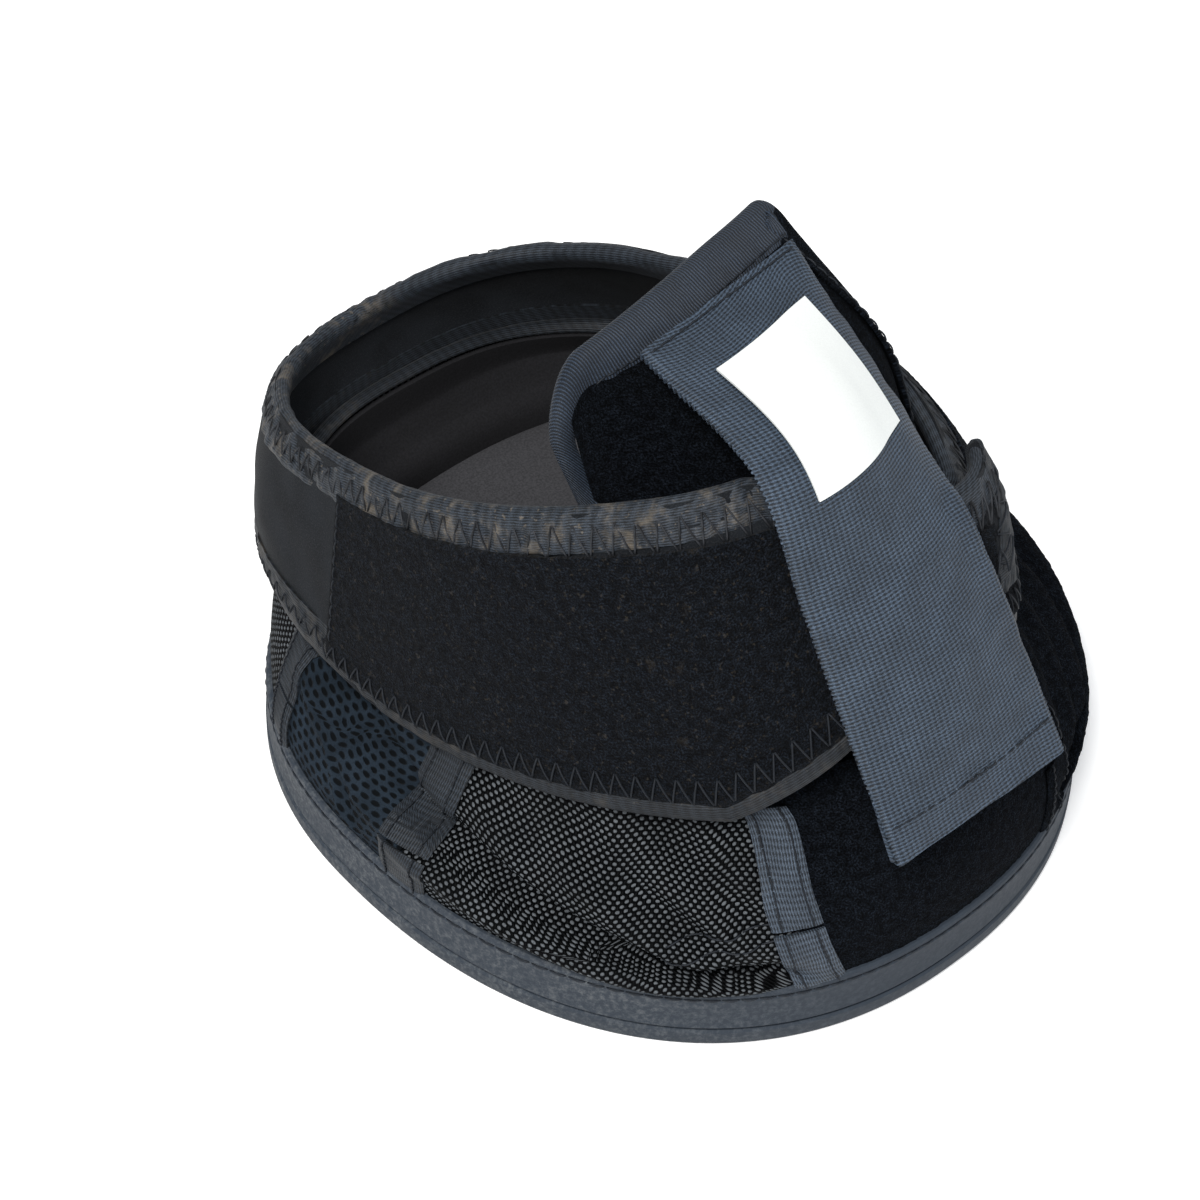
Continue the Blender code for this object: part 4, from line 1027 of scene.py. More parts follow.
def plain_finish(name, base, rough, grain=0.4e-3, depth=0.05e-3, sheen=0.0, spread=0.25):
    t = Tree(name)
    place = t.place()
    fine = t.noise(place, grain, 3.0, 0.6)
    colour = t.mix(t.ramp(fine, 0.3, 0.7), scaled(base, 1 - spread), scaled(base, 1 + spread))
    return t.finish(colour, rough, t.bump(fine, depth, 0.6), sheen=sheen, specular=0.25)


def floor_finish():
    """Pale floor that renders near white and still takes the boot's shadow."""
    t = Tree("Studio floor")
    ray = t.add("ShaderNodeLightPath").outputs["Is Camera Ray"]
    t.shader.inputs["Emission Color"].default_value = (1.0, 1.0, 1.0, 1.0)
    t.link(t.times(ray, 0.3), t.shader.inputs["Emission Strength"])
    return t.finish(tuple(colours().floor), 0.9, specular=0.1)


def make_finishes():
    c = colours()
    finishes.update(
        rubber=rubber_finish(), nylon=nylon_finish(), mesh=mesh_finish(),
        pile=pile_finish("Loop pile", scaled(c.pile, 0.7)),
        toe_pile=pile_finish("Toe loop pile", c.pile),
        dusty_pile=pile_finish("Dusty loop pile", c.pile, 0.03, 0.12),
        webbing=webbing_finish("Strap webbing", c.webbing, 0.62e-3, 1.05e-3, 0.16e-3),
        tape=webbing_finish("Seam tape", c.tape, 0.5e-3, 1.2e-3, 0.1e-3),
        dark_tape=webbing_finish(
            "Rear seam tape", scaled(c.tape, 0.34), 0.5e-3, 1.2e-3, 0.1e-3),
        binding=webbing_finish("Lower binding", c.binding, 0.45e-3, 2.0e-3, 0.06e-3, 0.03, 0.12),
        dusty_binding=webbing_finish(
            "Dusty top binding", scaled(c.binding, 1.9), 0.45e-3, 2.0e-3, 0.06e-3, 0.03, 0.5),
        ribbed=webbing_finish(
            "Ribbed binding", c.ribbed, 6.0e-3, 0.62e-3, 0.2e-3, row_weight=0.04, cord_weight=0.7),
        neoprene=neoprene_finish(),
        lining=plain_finish("Lining cloth", c.lining, 0.9),
        hook=plain_finish("Hook tape", (0.012, 0.013, 0.015), 0.5, 0.9e-3, 0.4e-3),
        foam=plain_finish("Foam", (0.05, 0.05, 0.055), 0.9),
        board=plain_finish("Insole board", (0.12, 0.1, 0.08), 0.8),
        label=plain_finish("Label cloth", c.label, 0.6, 0.3e-3, 0.02e-3, spread=0.03),
        thread=plain_finish("Thread", c.thread, 0.6, 0.5e-3, 0.02e-3),
        dark_thread=plain_finish("Dark thread", scaled(c.thread, 0.7), 0.6, 0.5e-3, 0.02e-3),
        dusty_thread=plain_finish(
            "Dusty thread", (0.022, 0.024, 0.028), 0.7, 2.5e-3, 0.02e-3, spread=0.6))


# Sole, rand and insole

RAND_THREAD = 0.2 * MM
GROOVES = 6
GROOVE_PITCH = 18 * MM
GROOVE_WIDTH = 4 * MM
GROOVE_DEPTH = 2.4 * MM
GROOVE_MARGIN = 7 * MM
BOARD_THICKNESS = 1.5 * MM


def ring_object(name, profile, steps=192, cap=False):
    """Closed body round the sole outline from (inset, height) pairs."""
    theta = np.linspace(0, 2 * math.pi, steps + 1)
    loops = [ring_point(sole_ring(inset, height), theta) for inset, height in profile]
    ends = [loops[0] * (0, 0, 1)], [loops[-1] * (0, 0, 1)]
    points = np.stack(ends[0] + loops + ends[1] if cap else loops + loops[:1], axis=1)
    obj = grid_object(name, points)
    merge(obj)
    face_out(obj)
    return smooth(obj, 35)


def make_rand():
    b = shape()
    outer, inner = RAND_INSET, RAND_INSET + LIP_THICKNESS - 0.1 * MM
    low, high = b.flange_height + cloth().clearance, b.rand_height
    bevel, lip = 0.4 * MM, 1.6 * MM
    profile = (
        (outer + 0.3 * MM, low), (outer, low + 0.5 * MM), (outer + 0.25 * MM, high / 2),
        (outer + 0.1 * MM, high - lip - bevel), (outer + 0.45 * MM, high - lip),
        (outer + 0.15 * MM, high - lip * 0.6), (outer + 0.3 * MM, high - lip * 0.2),
        (outer + bevel + 0.3 * MM, high), (inner, high), (inner, low))
    rand = ring_object("rand_band", profile, 240)
    finish_piece(rand, finishes["rubber"], "boot_shell", "rand", slot="sole_rubber")
    theta = np.linspace(0, 2 * math.pi, 150)
    stops = np.stack((theta, theta * 0 + high - lip * 1.05), axis=-1)

    def wall(a, z):
        a, z = np.broadcast_arrays(a, z)
        point = ring_point(sole_ring(outer + 0.35 * MM, 0.0), a)
        return point + np.stack((z * 0, z * 0, z), axis=-1)

    paths = stitch_paths(wall, stops, 0.05 * MM, STITCH_BULGE)
    sew("rand_stitch", paths, "thread", "boot_shell", RAND_THREAD)


def lining_inset():
    """Inset of the space inside the lining from the sole's outline."""
    k = cloth()
    wall = k.panel + k.lining_gap + k.lining
    return RAND_INSET + shape().rand_thickness + SEAM_GAP + wall + SEAM_GAP


def cut_grooves(outsole):
    """Cross grooves in the tread."""
    b = shape()
    for row in range(GROOVES):
        y = (row - (GROOVES - 1) / 2) * GROOVE_PITCH
        reach = b.sole_front if y < 0 else b.sole_back
        half = b.sole_half_width * math.sqrt(max(1 - (y / reach) ** 2, 0.0)) - GROOVE_MARGIN
        bpy.ops.mesh.primitive_cube_add(
            size=1.0, location=(0.0, y, 0.0), scale=(2 * half, GROOVE_WIDTH, 2 * GROOVE_DEPTH))
        cutter = bpy.context.active_object
        groove = outsole.modifiers.new("Groove", "BOOLEAN")
        groove.operation, groove.solver, groove.object = "DIFFERENCE", "EXACT", cutter
        apply_modifier(outsole, groove)
        bpy.data.objects.remove(cutter)


def make_sole():
    b = shape()
    inset = lining_inset()
    chamfer, bevel, flange = 1.0 * MM, 0.4 * MM, b.flange_height
    outsole = ring_object("tread_outsole", (
        (chamfer, 0.0), (chamfer * 0.3, chamfer * 0.3), (0.0, chamfer), (0.0, flange - bevel),
        (bevel, flange), (inset, flange), (inset, b.sole_height)), 240, cap=True)
    cut_grooves(outsole)
    smooth(outsole, 35)
    finish_piece(outsole, finishes["rubber"], "boot_shell", "outsole", slot="sole_rubber")
    low = b.sole_height + cloth().clearance
    high = low + BOARD_THICKNESS
    board = ring_object("insole_board_disc", ((inset, low), (inset, high)), 96, cap=True)
    finish_piece(board, finishes["board"], "boot_shell", "insole_board", slot="insole_board")
    base = high + cloth().clearance
    top = base + 5 * MM
    foam = ring_object("insole_foam_pad", (
        (inset, base), (inset, top - 1.2 * MM), (inset + 0.4 * MM, top - 0.4 * MM),
        (inset + 1.2 * MM, top), (inset + 5 * MM, top)), 96, cap=True)
    finish_piece(foam, finishes["foam"], "boot_shell", "foam_insole", slot="foam")


# Upper


def upper_panel(name, start, end, columns, rows, material, slot, node, rough=0.0, side=1, seed=1):
    """Panel of the upper between two seams, with a pile's roughness if any."""
    theta, v = slanted(start, end, columns, 0.45, UPPER_ROWS, rows)
    face = upper if side > 0 else far_upper
    lift = fuzz(columns, rows, SEED + seed) * rough if rough else theta * 0
    points = offset(face, theta, v, lift, side)
    plain = offset(face, theta, v, theta * 0, side)
    lengths = (arc_lengths(plain, 0), arc_lengths(plain, 1))
    obj = sheet_object(
        name, points, cloth().panel, not flows_out(points, UPPER_MIDDLE), lengths=lengths)
    finish_piece(obj, finishes[material], "boot_shell", node, slot=slot)
    declare_sheet(plain)


def make_upper():
    s = seams()
    gap = SEAM_GAP / shape().sole_half_width / 2
    low, high = s.front_low, s.front_high
    past_front, before_rear = (low + gap, high + gap), (s.rear_low - gap, s.rear_high - gap)
    past_rear, before_heel = (s.rear_low + gap, s.rear_high + gap), (s.heel - gap, s.heel - gap)
    rough = cloth().pile_rough
    upper_panel("toe_loop_panel", (gap - low, gap - high), (low - gap, high - gap),
                120, 90, "toe_pile", "loop_pile", "toe_panel", rough, seed=2)
    for sign, name, columns, rows, material, slot, height in (
            (1, "near", 150, 96, "nylon", "ballistic_nylon", 0.0),
            (-1, "far", 130, 80, "toe_pile", "loop_pile", rough)):
        upper_panel(name + "_wing_panel", past_front, before_rear, columns, rows,
                    material, slot, name + "_side_panel", height, side=sign)
        upper_panel(name + "_spacer_panel", past_rear, before_heel, 90, 90,
                    "mesh", "air_mesh", name + "_mesh_panel", side=sign)
    far_heel = 2 * math.pi - s.heel
    upper_panel("heel_nylon_panel", (s.heel + gap, s.heel + gap), (far_heel - gap, far_heel - gap),
                180, 60, "nylon", "ballistic_nylon", "heel_panel")
    make_tapes()
    make_lining()
    make_wing_stitch()


def make_wing_stitch():
    """Two rows of stitches across the near side panel, from the front tape's break."""
    pitch = cloth().lock_pitch
    paths = []
    for rise in (0.0, 0.3):
        start, end = (WING_STITCH_START, 2.05 + rise), (seams().front_low + WING_STITCH_GAP, 2.5 + rise)
        stops = lock_stops(upper, start, end, pitch, 8)
        paths.append(stitch_paths(upper, stops, 0.12 * MM, STITCH_BULGE))
    sew("near_wing_stitch", np.concatenate(paths), "dark_thread", "boot_shell")


WING_STITCH_START = math.radians(45)
WING_STITCH_GAP = math.radians(4)
TAPE_RUNS = (
    ("front", "front_low", "front_high"), ("rear", "rear_low", "rear_high"), ("heel", "heel", "heel"))
TAPE_PARTS = (("lower", 0.9, 2.42), ("upper", 2.5, 4.3))
TAPE_COLUMNS, TAPE_POINTS = 19, 50
TAPE_STITCH_SHARES = (-0.62, 0.62)


def make_tapes():
    """Seam tapes, one lower and one upper length to a seam, each with two rows of stitches."""
    k = cloth()
    half = k.tape_width / shape().sole_half_width / 2
    for seam, low_name, high_name in TAPE_RUNS:
        low, high = getattr(seams(), low_name), getattr(seams(), high_name)
        for sign, name in ((1, "near"), (-1, "far")):
            face = upper if sign > 0 else far_upper
            material = "dark_tape" if seam != "front" else "tape" if sign > 0 else "toe_pile"
            paths = []
            for part, v_low, v_high in TAPE_PARTS:
                start, end = (low - half, high - half), (low + half, high + half)
                theta, v = slanted(start, end, TAPE_COLUMNS, v_low, v_high, TAPE_POINTS)
                edge = np.linspace(-1, 1, TAPE_COLUMNS)[:, None]
                lift = k.clearance + k.tape * (1 - 0.7 * np.abs(edge) ** 6) + theta * 0
                points = offset(face, theta, v, lift, sign)
                lengths = (arc_lengths(points, 1), arc_lengths(points, 0))
                obj = sheet_object("_".join((name, seam, part, "seam_tape")), points, k.tape,
                                   not flows_out(points, UPPER_MIDDLE), lengths=lengths)
                node = "_".join((name, seam, part, "tape"))
                finish_piece(obj, finishes[material], "boot_shell", node, slot="strap_webbing")
                declare_sheet(points)
                for across in TAPE_STITCH_SHARES:
                    start, end = (
                        (low + (high - low) * row / UPPER_ROWS + half * across, row) for row in (v_low, v_high))
                    stops = lock_stops(face, start, end, k.lock_pitch, 9)
                    paths.append(stitch_paths(
                        face, stops, k.clearance + k.tape + STITCH_STAND, STITCH_BULGE, sign))
            sew(f"{name}_{seam}_tape_stitch", np.concatenate(paths), "dark_thread", "boot_shell")


def make_lining():
    """Lining that stays behind the panels' folds, and the piping on the rim."""
    k = cloth()
    theta, v = np.broadcast_arrays(
        np.linspace(0, 2 * math.pi, 361)[:, None], np.linspace(0.0, UPPER_ROWS, 46)[None, :])
    turn = turn_from_toe(theta)
    deepest = np.min([fold_shift(turn, v + near) for near in np.linspace(-0.5, 0.5, 11)], axis=0)
    points = offset(plain_upper, theta, v, theta * 0 - k.panel - k.lining_gap)
    points = points + outward(theta) * np.minimum(deepest - k.clearance, 0)[..., None]
    obj = sheet_object("upper_lining", points, k.lining,
                       not flows_out(points, UPPER_MIDDLE), closed=True)
    finish_piece(obj, finishes["lining"], "boot_shell", "lining", slot="lining_cloth")
    declare_sheet(points)
    make_piping(k.panel + k.lining_gap + k.lining)


def make_piping(depth):
    """Tube of a depth over the rim, from one band's corner round the heel to the other's."""
    start = seams().corner + math.radians(14)
    run = np.linspace(start, 2 * math.pi - start, 150)
    rim = plain_upper(run, run * 0 + UPPER_ROWS)
    out = normal(plain_upper, run, run * 0 + UPPER_ROWS - STEP)
    rise = rim - plain_upper(run, run * 0 + UPPER_ROWS - 1)
    rise /= np.linalg.norm(rise, axis=-1, keepdims=True)
    middle = rim + rise * 1.4 * MM - out * depth / 2
    turns = np.linspace(0, 2 * math.pi, 11)
    ring = middle[:, None] + out[:, None] * (np.cos(turns) * depth / 2)[None, :, None]
    ring = ring + rise[:, None] * (np.sin(turns) * 1.0 * MM)[None, :, None]
    close_tube(ring, "upper_rim_piping", finishes["binding"], "boot_shell", "upper_top_piping")


def close_tube(ring, name, material, body, node):
    obj = grid_object(name, ring)
    merge(obj)
    select_only(obj)
    bpy.ops.object.mode_set(mode="EDIT")
    bpy.ops.mesh.select_all(action="DESELECT")
    bpy.ops.mesh.select_non_manifold()
    bpy.ops.mesh.fill()
    bpy.ops.object.mode_set(mode="OBJECT")
    face_out(obj)
    smooth(obj)
    return finish_piece(obj, material, body, node)


# Collar


NEAR_DROP_ANGLES = (math.radians(16), math.radians(-20))
FAR_DROP_ANGLES = (math.radians(72), math.radians(36))
BLEND_ANGLES = (math.radians(119), math.radians(91))
END_MARGIN = 0.05
END_ZIGZAG = 6.4 * MM / BAND_RADIUS


def near_top(theta):
    return 1 - seams().drop * smooth_step(*NEAR_DROP_ANGLES, theta)


def far_top(theta):
    return 1 - seams().drop * smooth_step(*FAR_DROP_ANGLES, theta)


def band_low(theta):
    s = seams()
    return s.rise * np.clip((s.corner - theta) / (s.corner - s.rise_end), 0.0, 1.0)


def collar_half(name, face, sign, top_edge, end, nodes):
    """Neoprene half of the collar from the heel seam to a band's end."""
    k = cloth()
    theta = np.linspace(math.pi, end, 190)[:, None]
    part = np.linspace(0, 1, 34)[None, :]
    low, top = band_low(theta), top_edge(theta)
    v = low + (top - low) * part
    slack = 0.35 * MM * noise(np.random.default_rng(SEED + 20 + sign), 190, 34, 9)
    outer = offset(face, theta, v, slack, sign)
    inner = offset(face, theta, v, theta * 0 - k.neoprene, sign)
    obj = shell_object(name, outer, inner)
    finish_piece(obj, finishes["neoprene"], blend_for(sign), *nodes, slot="neoprene")


def blend_for(sign):
    """Blend from the boot's shell to a band across the band's root."""
    face = near_face if sign > 0 else far_face
    start, end = (tuple(map(float, face(np.array(a), np.array(0.5)))) for a in BLEND_ANGLES)
    return ("boot_shell", "near_band" if sign > 0 else "far_band", start, end)


def binding_grid(surface, stations, step, outer, inner, side, leg, pucker):
    """Grid of points round an edge: outer leg, rounded edge, inner leg."""
    a, b = stations[:, 0], stations[:, 1]
    inward = surface(a + step[0] * STEP, b + step[1] * STEP) - surface(a, b)
    size = np.linalg.norm(inward, axis=-1)
    inward = inward / size[:, None]
    per = size / STEP

    def inside(w):
        return a + step[0] * w / per, b + step[1] * w / per

    nose, wrap = 1.7 * MM, 1.0 * MM
    down = np.linspace(leg, nose, LEG_ROWS)
    middle, half = (outer + inner) / 2, (outer - inner) / 2
    out = normal(surface, a, b, side)
    rows = []
    for index, w in enumerate(down):
        sink = 0.25 * MM if index == 0 else 0.0
        rows.append(offset(surface, *inside(w), outer + pucker[:, index] - sink, side))
    base = surface(*inside(nose))
    bulge = half + pucker[:, -1] * 0.7
    for turn in NOSE_TURNS:
        along = -(nose + wrap) * math.cos(turn)
        rows.append(base + inward * along + out * (middle + bulge * math.sin(turn))[:, None])
    for w in down[::-1][::2]:
        rows.append(offset(surface, *inside(w), inner, side))
    return np.stack(rows, axis=1)


def binding_object(name, surface, stations, step, side, material, body, nodes, slot,
                   pucker_height=0.25 * MM, seed=40):
    """Binding folded round an edge of the collar."""
    k = cloth()
    outer = k.clearance + k.binding - EDGE_PINCH
    inner = EDGE_PINCH - k.neoprene - k.clearance - k.binding
    pucker = noise(np.random.default_rng(SEED + seed), len(stations), LEG_ROWS, PUCKER_CELL)
    points = binding_grid(
        surface, stations, step, outer, inner, side, k.binding_leg, pucker * pucker_height)
    middle = points.mean(axis=1, keepdims=True)[:-1]
    obj = sheet_object(name, points, TRIM_CLOTH, not flows_out(points, middle))
    finish_piece(obj, material, body, *nodes, slot=slot)
    declare_sheet(points)


def zigzag_stops(a_values, b_low, b_high):
    """Stops that swing between two lines b_low and b_high."""
    swing = np.arange(len(a_values)) % 2
    return np.stack((a_values, b_low + (b_high - b_low) * swing), axis=-1)


def even_angles(face, start, end, v, pitch):
    """Angles a pitch apart along a face at a row."""
    theta = np.linspace(start, end, 400)
    points = face(theta, v(theta) if callable(v) else theta * 0 + v)
    run = run_lengths(points)
    count = max(int(run[-1] / pitch), 2)
    return np.interp(np.linspace(0, run[-1], count + 1), run, theta)


def turns_between(angles):
    """Middle angle of each stitch between following stops, as a column."""
    return ((angles[:-1] + angles[1:]) / 2)[:, None]


def collar_edges(name, face, sign, top_edge, end, count):
    """Bindings on a half's two long edges and on its end, with their zigzags."""
    k = cloth()
    theta = np.linspace(math.pi, end + 0.045, count)
    band, blend = name + "_band", blend_for(sign)
    for edge, line, step, material, slot, height, seed in (
            ("top", top_edge, (0, -1), "dusty_binding", "dusty_binding", 0.45 * MM, 41),
            ("low", band_low, (0, 1), "binding", "binding_tape", 0.3 * MM, 44)):
        binding_object(
            f"{name}_{edge}_binding_tape", face, np.stack((theta, line(theta)), axis=-1), step, sign,
            finishes[material], blend, (f"{band}_{edge}_binding",), slot, height, seed + sign)
    v = np.linspace(float(band_low(np.array(end))), float(top_edge(np.array(end))), 60)
    binding_object(
        name + "_end_binding_tape", face, np.stack((v * 0 + end, v), axis=-1), (1, 0), sign,
        finishes["binding"], band, (band + "_end_binding",), "binding_tape", seed=47 + sign)
    height = np.mean(band_height(theta))
    high = k.clearance + k.binding - EDGE_PINCH + 0.12 * MM
    pitch = k.zigzag_pitch / 2
    root = seams().band_root
    for edge, line, near, far, finish in (
            ("top", top_edge, -1.2 * MM, -6.4 * MM, "dusty_thread"),
            ("low", band_low, 2.2 * MM, 6.0 * MM, "dark_thread")):
        angles = even_angles(face, math.pi, end + END_MARGIN, line, pitch)
        over_pile = 0.95 * MM * smooth_step(root, root - 0.03, turns_between(angles))
        stops = zigzag_stops(angles, line(angles) + near / height, line(angles) + far / height)
        tall = high + over_pile if edge == "low" else high
        sew(f"{name}_{edge}_zigzag", stitch_paths(face, stops, tall, STITCH_BULGE, sign), finish, blend)
    v = np.arange(v[0] + 0.05, v[-1] - 0.04, pitch / height)
    stops = zigzag_stops(v, v * 0 + end + END_ZIGZAG * 0.25, v * 0 + end + END_ZIGZAG)[:, ::-1]
    sew(name + "_end_zigzag", stitch_paths(face, stops, high, STITCH_BULGE, sign), "dark_thread", band)


def loop_face(name, face, sign, top_edge, end, columns):
    """Loop pile over a band, with a rounded stitched edge at its root."""
    k = cloth()
    height = np.mean(band_height(np.linspace(0, 1.8, 9)))
    rows = 84
    part = np.linspace(0, 1, rows)[None, :]
    root = seams().band_root - 0.8 * MM / BAND_RADIUS
    theta = np.linspace(root, end + 7.6 * MM / BAND_RADIUS, columns)[:, None]
    low = band_low(theta) + 1.7 * MM / height
    top = top_edge(theta) - (k.binding_leg + 0.2 * MM) / height
    v = low + (top - low) * part
    edge_fade = smooth_step(0, 1.2 * MM, (root - theta) * BAND_RADIUS)
    loops = fuzz(columns, rows, SEED + 60 + sign) * k.pile_rough
    lift = k.clearance + 0.25 * MM + edge_fade * (k.pile * 0.55 + loops)
    lift = lift * smooth_step(-0.02, 0.05, part)
    points = offset(face, theta + v * 0, v, lift, sign)
    plain = offset(face, theta + v * 0, v, lift * 0 + k.pile, sign)
    lengths = (arc_lengths(plain, 0), arc_lengths(plain, 1))
    obj = sheet_object(
        name + "_loop_pile", points, k.pile, not flows_out(points, COLLAR_MIDDLE), lengths=lengths)
    band = name + "_band"
    finish_piece(obj, finishes["dusty_pile"], band, band + "_loop_face", slot="loop_pile")
    declare_sheet(plain)


def make_collar():
    s = seams()
    collar_half(
        "collar_near_half", near_face, 1, near_top, s.near_end, ("collar_back", "near_band"))
    collar_half("collar_far_half", far_face, -1, far_top, s.far_end, ("far_band",))
    for name, face, sign, top, end, count, columns in (
            ("near", near_face, 1, near_top, s.near_end, 420, 320),
            ("far", far_face, -1, far_top, s.far_end, 220, 200)):
        collar_edges(name, face, sign, top, end, count)
        loop_face(name, face, sign, top, end, columns)
    make_root_stitch()
    make_heel_seam()
    make_hook_patch()


def make_root_stitch():
    """Line of stitches down the loop pile's rear edge."""
    k = cloth()
    for sign, name, face in ((1, "near", near_face), (-1, "far", far_face)):
        a = seams().band_root - 2.4 * MM / BAND_RADIUS
        stops = lock_stops(face, (a, 0.14), (a, 0.84), 2.2 * MM)
        paths = stitch_paths(face, stops, k.clearance + k.pile + 0.15 * MM, STITCH_BULGE, sign)
        sew(name + "_pile_edge_stitch", paths, "dark_thread", name + "_band")


def make_heel_seam():
    """Flat tape over the join of the collar's halves at the heel."""
    k = cloth()
    half = 7 * MM / HEEL_RADIUS
    theta = np.linspace(math.pi - half, math.pi + half, 21)[:, None]
    v = np.linspace(0.12, 0.88, 60)[None, :]
    edge = np.linspace(-1, 1, 21)[:, None]
    lift = k.binding + 0.5 * MM * (1 - np.abs(edge) ** 6) + v * 0 + 0.1 * MM
    points = offset(collar, theta + v * 0, v + theta * 0, lift)
    lengths = (arc_lengths(points, 1), arc_lengths(points, 0))
    obj = sheet_object("collar_heel_tape", points, TRIM_CLOTH,
                       not flows_out(points, COLLAR_MIDDLE), lengths=lengths)
    finish_piece(obj, finishes["binding"], "boot_shell",
                 "collar_back_top_binding", "collar_back_low_binding", slot="binding_tape")
    declare_sheet(points)


def make_hook_patch():
    """Hook tape inside the near band's end."""
    k = cloth()
    end = seams().near_end
    theta = np.linspace(end + 10 * MM / BAND_RADIUS, end + 34 * MM / BAND_RADIUS, 20)[:, None]
    part = np.linspace(0.2, 0.8, 20)[None, :]
    v = band_low(theta) + (near_top(theta) - band_low(theta)) * part
    points = offset(near_face, theta + v * 0, v, v * 0 - k.neoprene - k.clearance)
    obj = sheet_object("near_band_hook_tape", points, closure().hook,
                       not flows_out(points, COLLAR_MIDDLE))
    finish_piece(obj, finishes["hook"], "near_band", "near_band_hook_patch", slot="hook_tape")
    declare_sheet(points)


# Tongue

PILE_INSET = 1.6 * MM
PAD_EDGE = 1.6 * MM
PAD_SWELL = 1.9 * MM
EDGE_STEPS, TOP_STEPS, CORNER_STEPS = 110, 150, 26
FAR_EDGE_START = 118


def margin_shares(inset):
    """Share of the tongue's half width and of its rows taken by a margin."""
    return inset / closure().tongue_half_width, inset / closure().tongue_rise * TONGUE_ROWS


def tongue_points(lift, inset, columns, rows):
    """Grid of points a height off the tongue's face, inset from its edges."""
    side, top = margin_shares(inset)
    s = np.linspace(-1 + side, 1 - side, columns)[:, None]
    t = np.linspace(0.0, TONGUE_ROWS - top, rows)[None, :]
    return offset(tongue, s + t * 0, t + s * 0, lift, -1)


def make_tongue():
    k = cloth()
    columns, rows = 116, 140
    rough = fuzz(columns, rows, SEED + 80) * k.pile_rough
    across = np.abs(np.linspace(-1, 1, columns))[:, None]
    along = np.linspace(0, 1, rows)[None, :]
    open_share = smooth_step(1.0, 0.82, across) * smooth_step(1.0, 0.9, along)
    sink = 0.25 * MM * (1 - open_share)
    points = tongue_points(rough * open_share - sink, PILE_INSET, columns, rows)
    plain = tongue_points(rough * 0, PILE_INSET, columns, rows)
    face = sheet_object("tongue_loop_pile", points, k.pile, not flows_out(points, TONGUE_MIDDLE),
                        lengths=(arc_lengths(plain, 0), arc_lengths(plain, 1)))
    finish_piece(face, finishes["pile"], "tongue", "tongue_loop_face", slot="loop_pile")
    declare_sheet(plain)
    front = -k.pile - k.clearance
    columns, rows = columns // 2, rows // 2
    across = np.abs(np.linspace(-1, 1, columns))[:, None]
    along = np.linspace(0, 1, rows)[None, :]
    fill = smooth_step(1.0, 0.55, across) * smooth_step(1.0, 0.8, along)
    outer = tongue_points(fill * 0 + front, 0.0, columns, rows)
    inner = tongue_points(front - PAD_EDGE - PAD_SWELL * fill, 0.0, columns, rows)
    pad = shell_object("tongue_foam_pad", outer, inner)
    finish_piece(pad, finishes["foam"], "tongue", "tongue_pad", slot="foam")
    back = tongue_points(
        front - PAD_EDGE - k.clearance - PAD_SWELL * fill, 3.0 * MM, columns, rows)
    cover = sheet_object("tongue_back_cloth", back, 0.9 * MM, not flows_out(back, TONGUE_MIDDLE))
    finish_piece(cover, finishes["lining"], "tongue", "tongue_lining", slot="lining_cloth")
    declare_sheet(back)
    make_tongue_bindings(front)


def tongue_edge():
    """Points, inward directions and normals round the tongue's near, top and far edges."""
    c = closure()
    turns = np.linspace(0, math.pi / 2, CORNER_STEPS)[1:]
    near = -1 + c.corner_round / c.tongue_half_width * (1 - np.cos(turns))
    far = 1 - c.far_corner_round / c.tongue_half_width * (1 - np.cos(turns[::-1]))
    top = np.concatenate((near, np.linspace(near[-1], far[0], TOP_STEPS)[1:-1], far))
    side, up = np.ones(EDGE_STEPS), np.linspace(0, TONGUE_ROWS, EDGE_STEPS)
    s = np.concatenate((-side, top, side))
    t = np.concatenate((up, np.full(len(top), float(TONGUE_ROWS)), up[::-1]))
    points = plain_smooth(tongue(s, t), 2)
    out = normal(plain_tongue, s, t, -1)
    ahead = np.gradient(points, axis=0)
    ahead /= np.maximum(np.linalg.norm(ahead, axis=-1, keepdims=True), 1e-12)
    inward = np.cross(ahead, out)
    inward /= np.linalg.norm(inward, axis=-1, keepdims=True)
    middle = tongue(np.array(0.0), np.array(3.0))
    if (inward * (middle - points)).sum() < 0:
        inward = -inward
    return points, plain_smooth(inward, 3), out, s


def plain_smooth(points, rounds):
    """Evens out a run of points, its ends held."""
    for _ in range(rounds):
        inside = (points[:-2] + 2 * points[1:-1] + points[2:]) / 4
        points = np.concatenate((points[:1], inside, points[-1:]))
    return points


def trim_grid(edge, inward, out, outer, inner, leg, pucker):
    """Grid of points of a trim folded round an edge given by points and directions."""
    nose, wrap = 1.6 * MM, 1.0 * MM
    middle, half = (outer + inner) / 2, (outer - inner) / 2
    rows = []
    for index, share_in in enumerate(np.linspace(1, 0, LEG_ROWS)):
        w = nose + (leg - nose) * share_in
        sink = 0.3 * MM if index == 0 else 0.0
        rows.append(edge + inward * w[:, None] + out * (outer + pucker[:, index] - sink)[:, None])
    for turn in NOSE_TURNS:
        along = nose - (nose + wrap) * math.cos(turn)
        rows.append(edge + inward * along + out * (middle + half * math.sin(turn)))
    for share_in in np.linspace(0, 1, 4):
        w = nose + (leg - nose) * share_in
        rows.append(edge + inward * w[:, None] + out * inner)
    return np.stack(rows, axis=1)


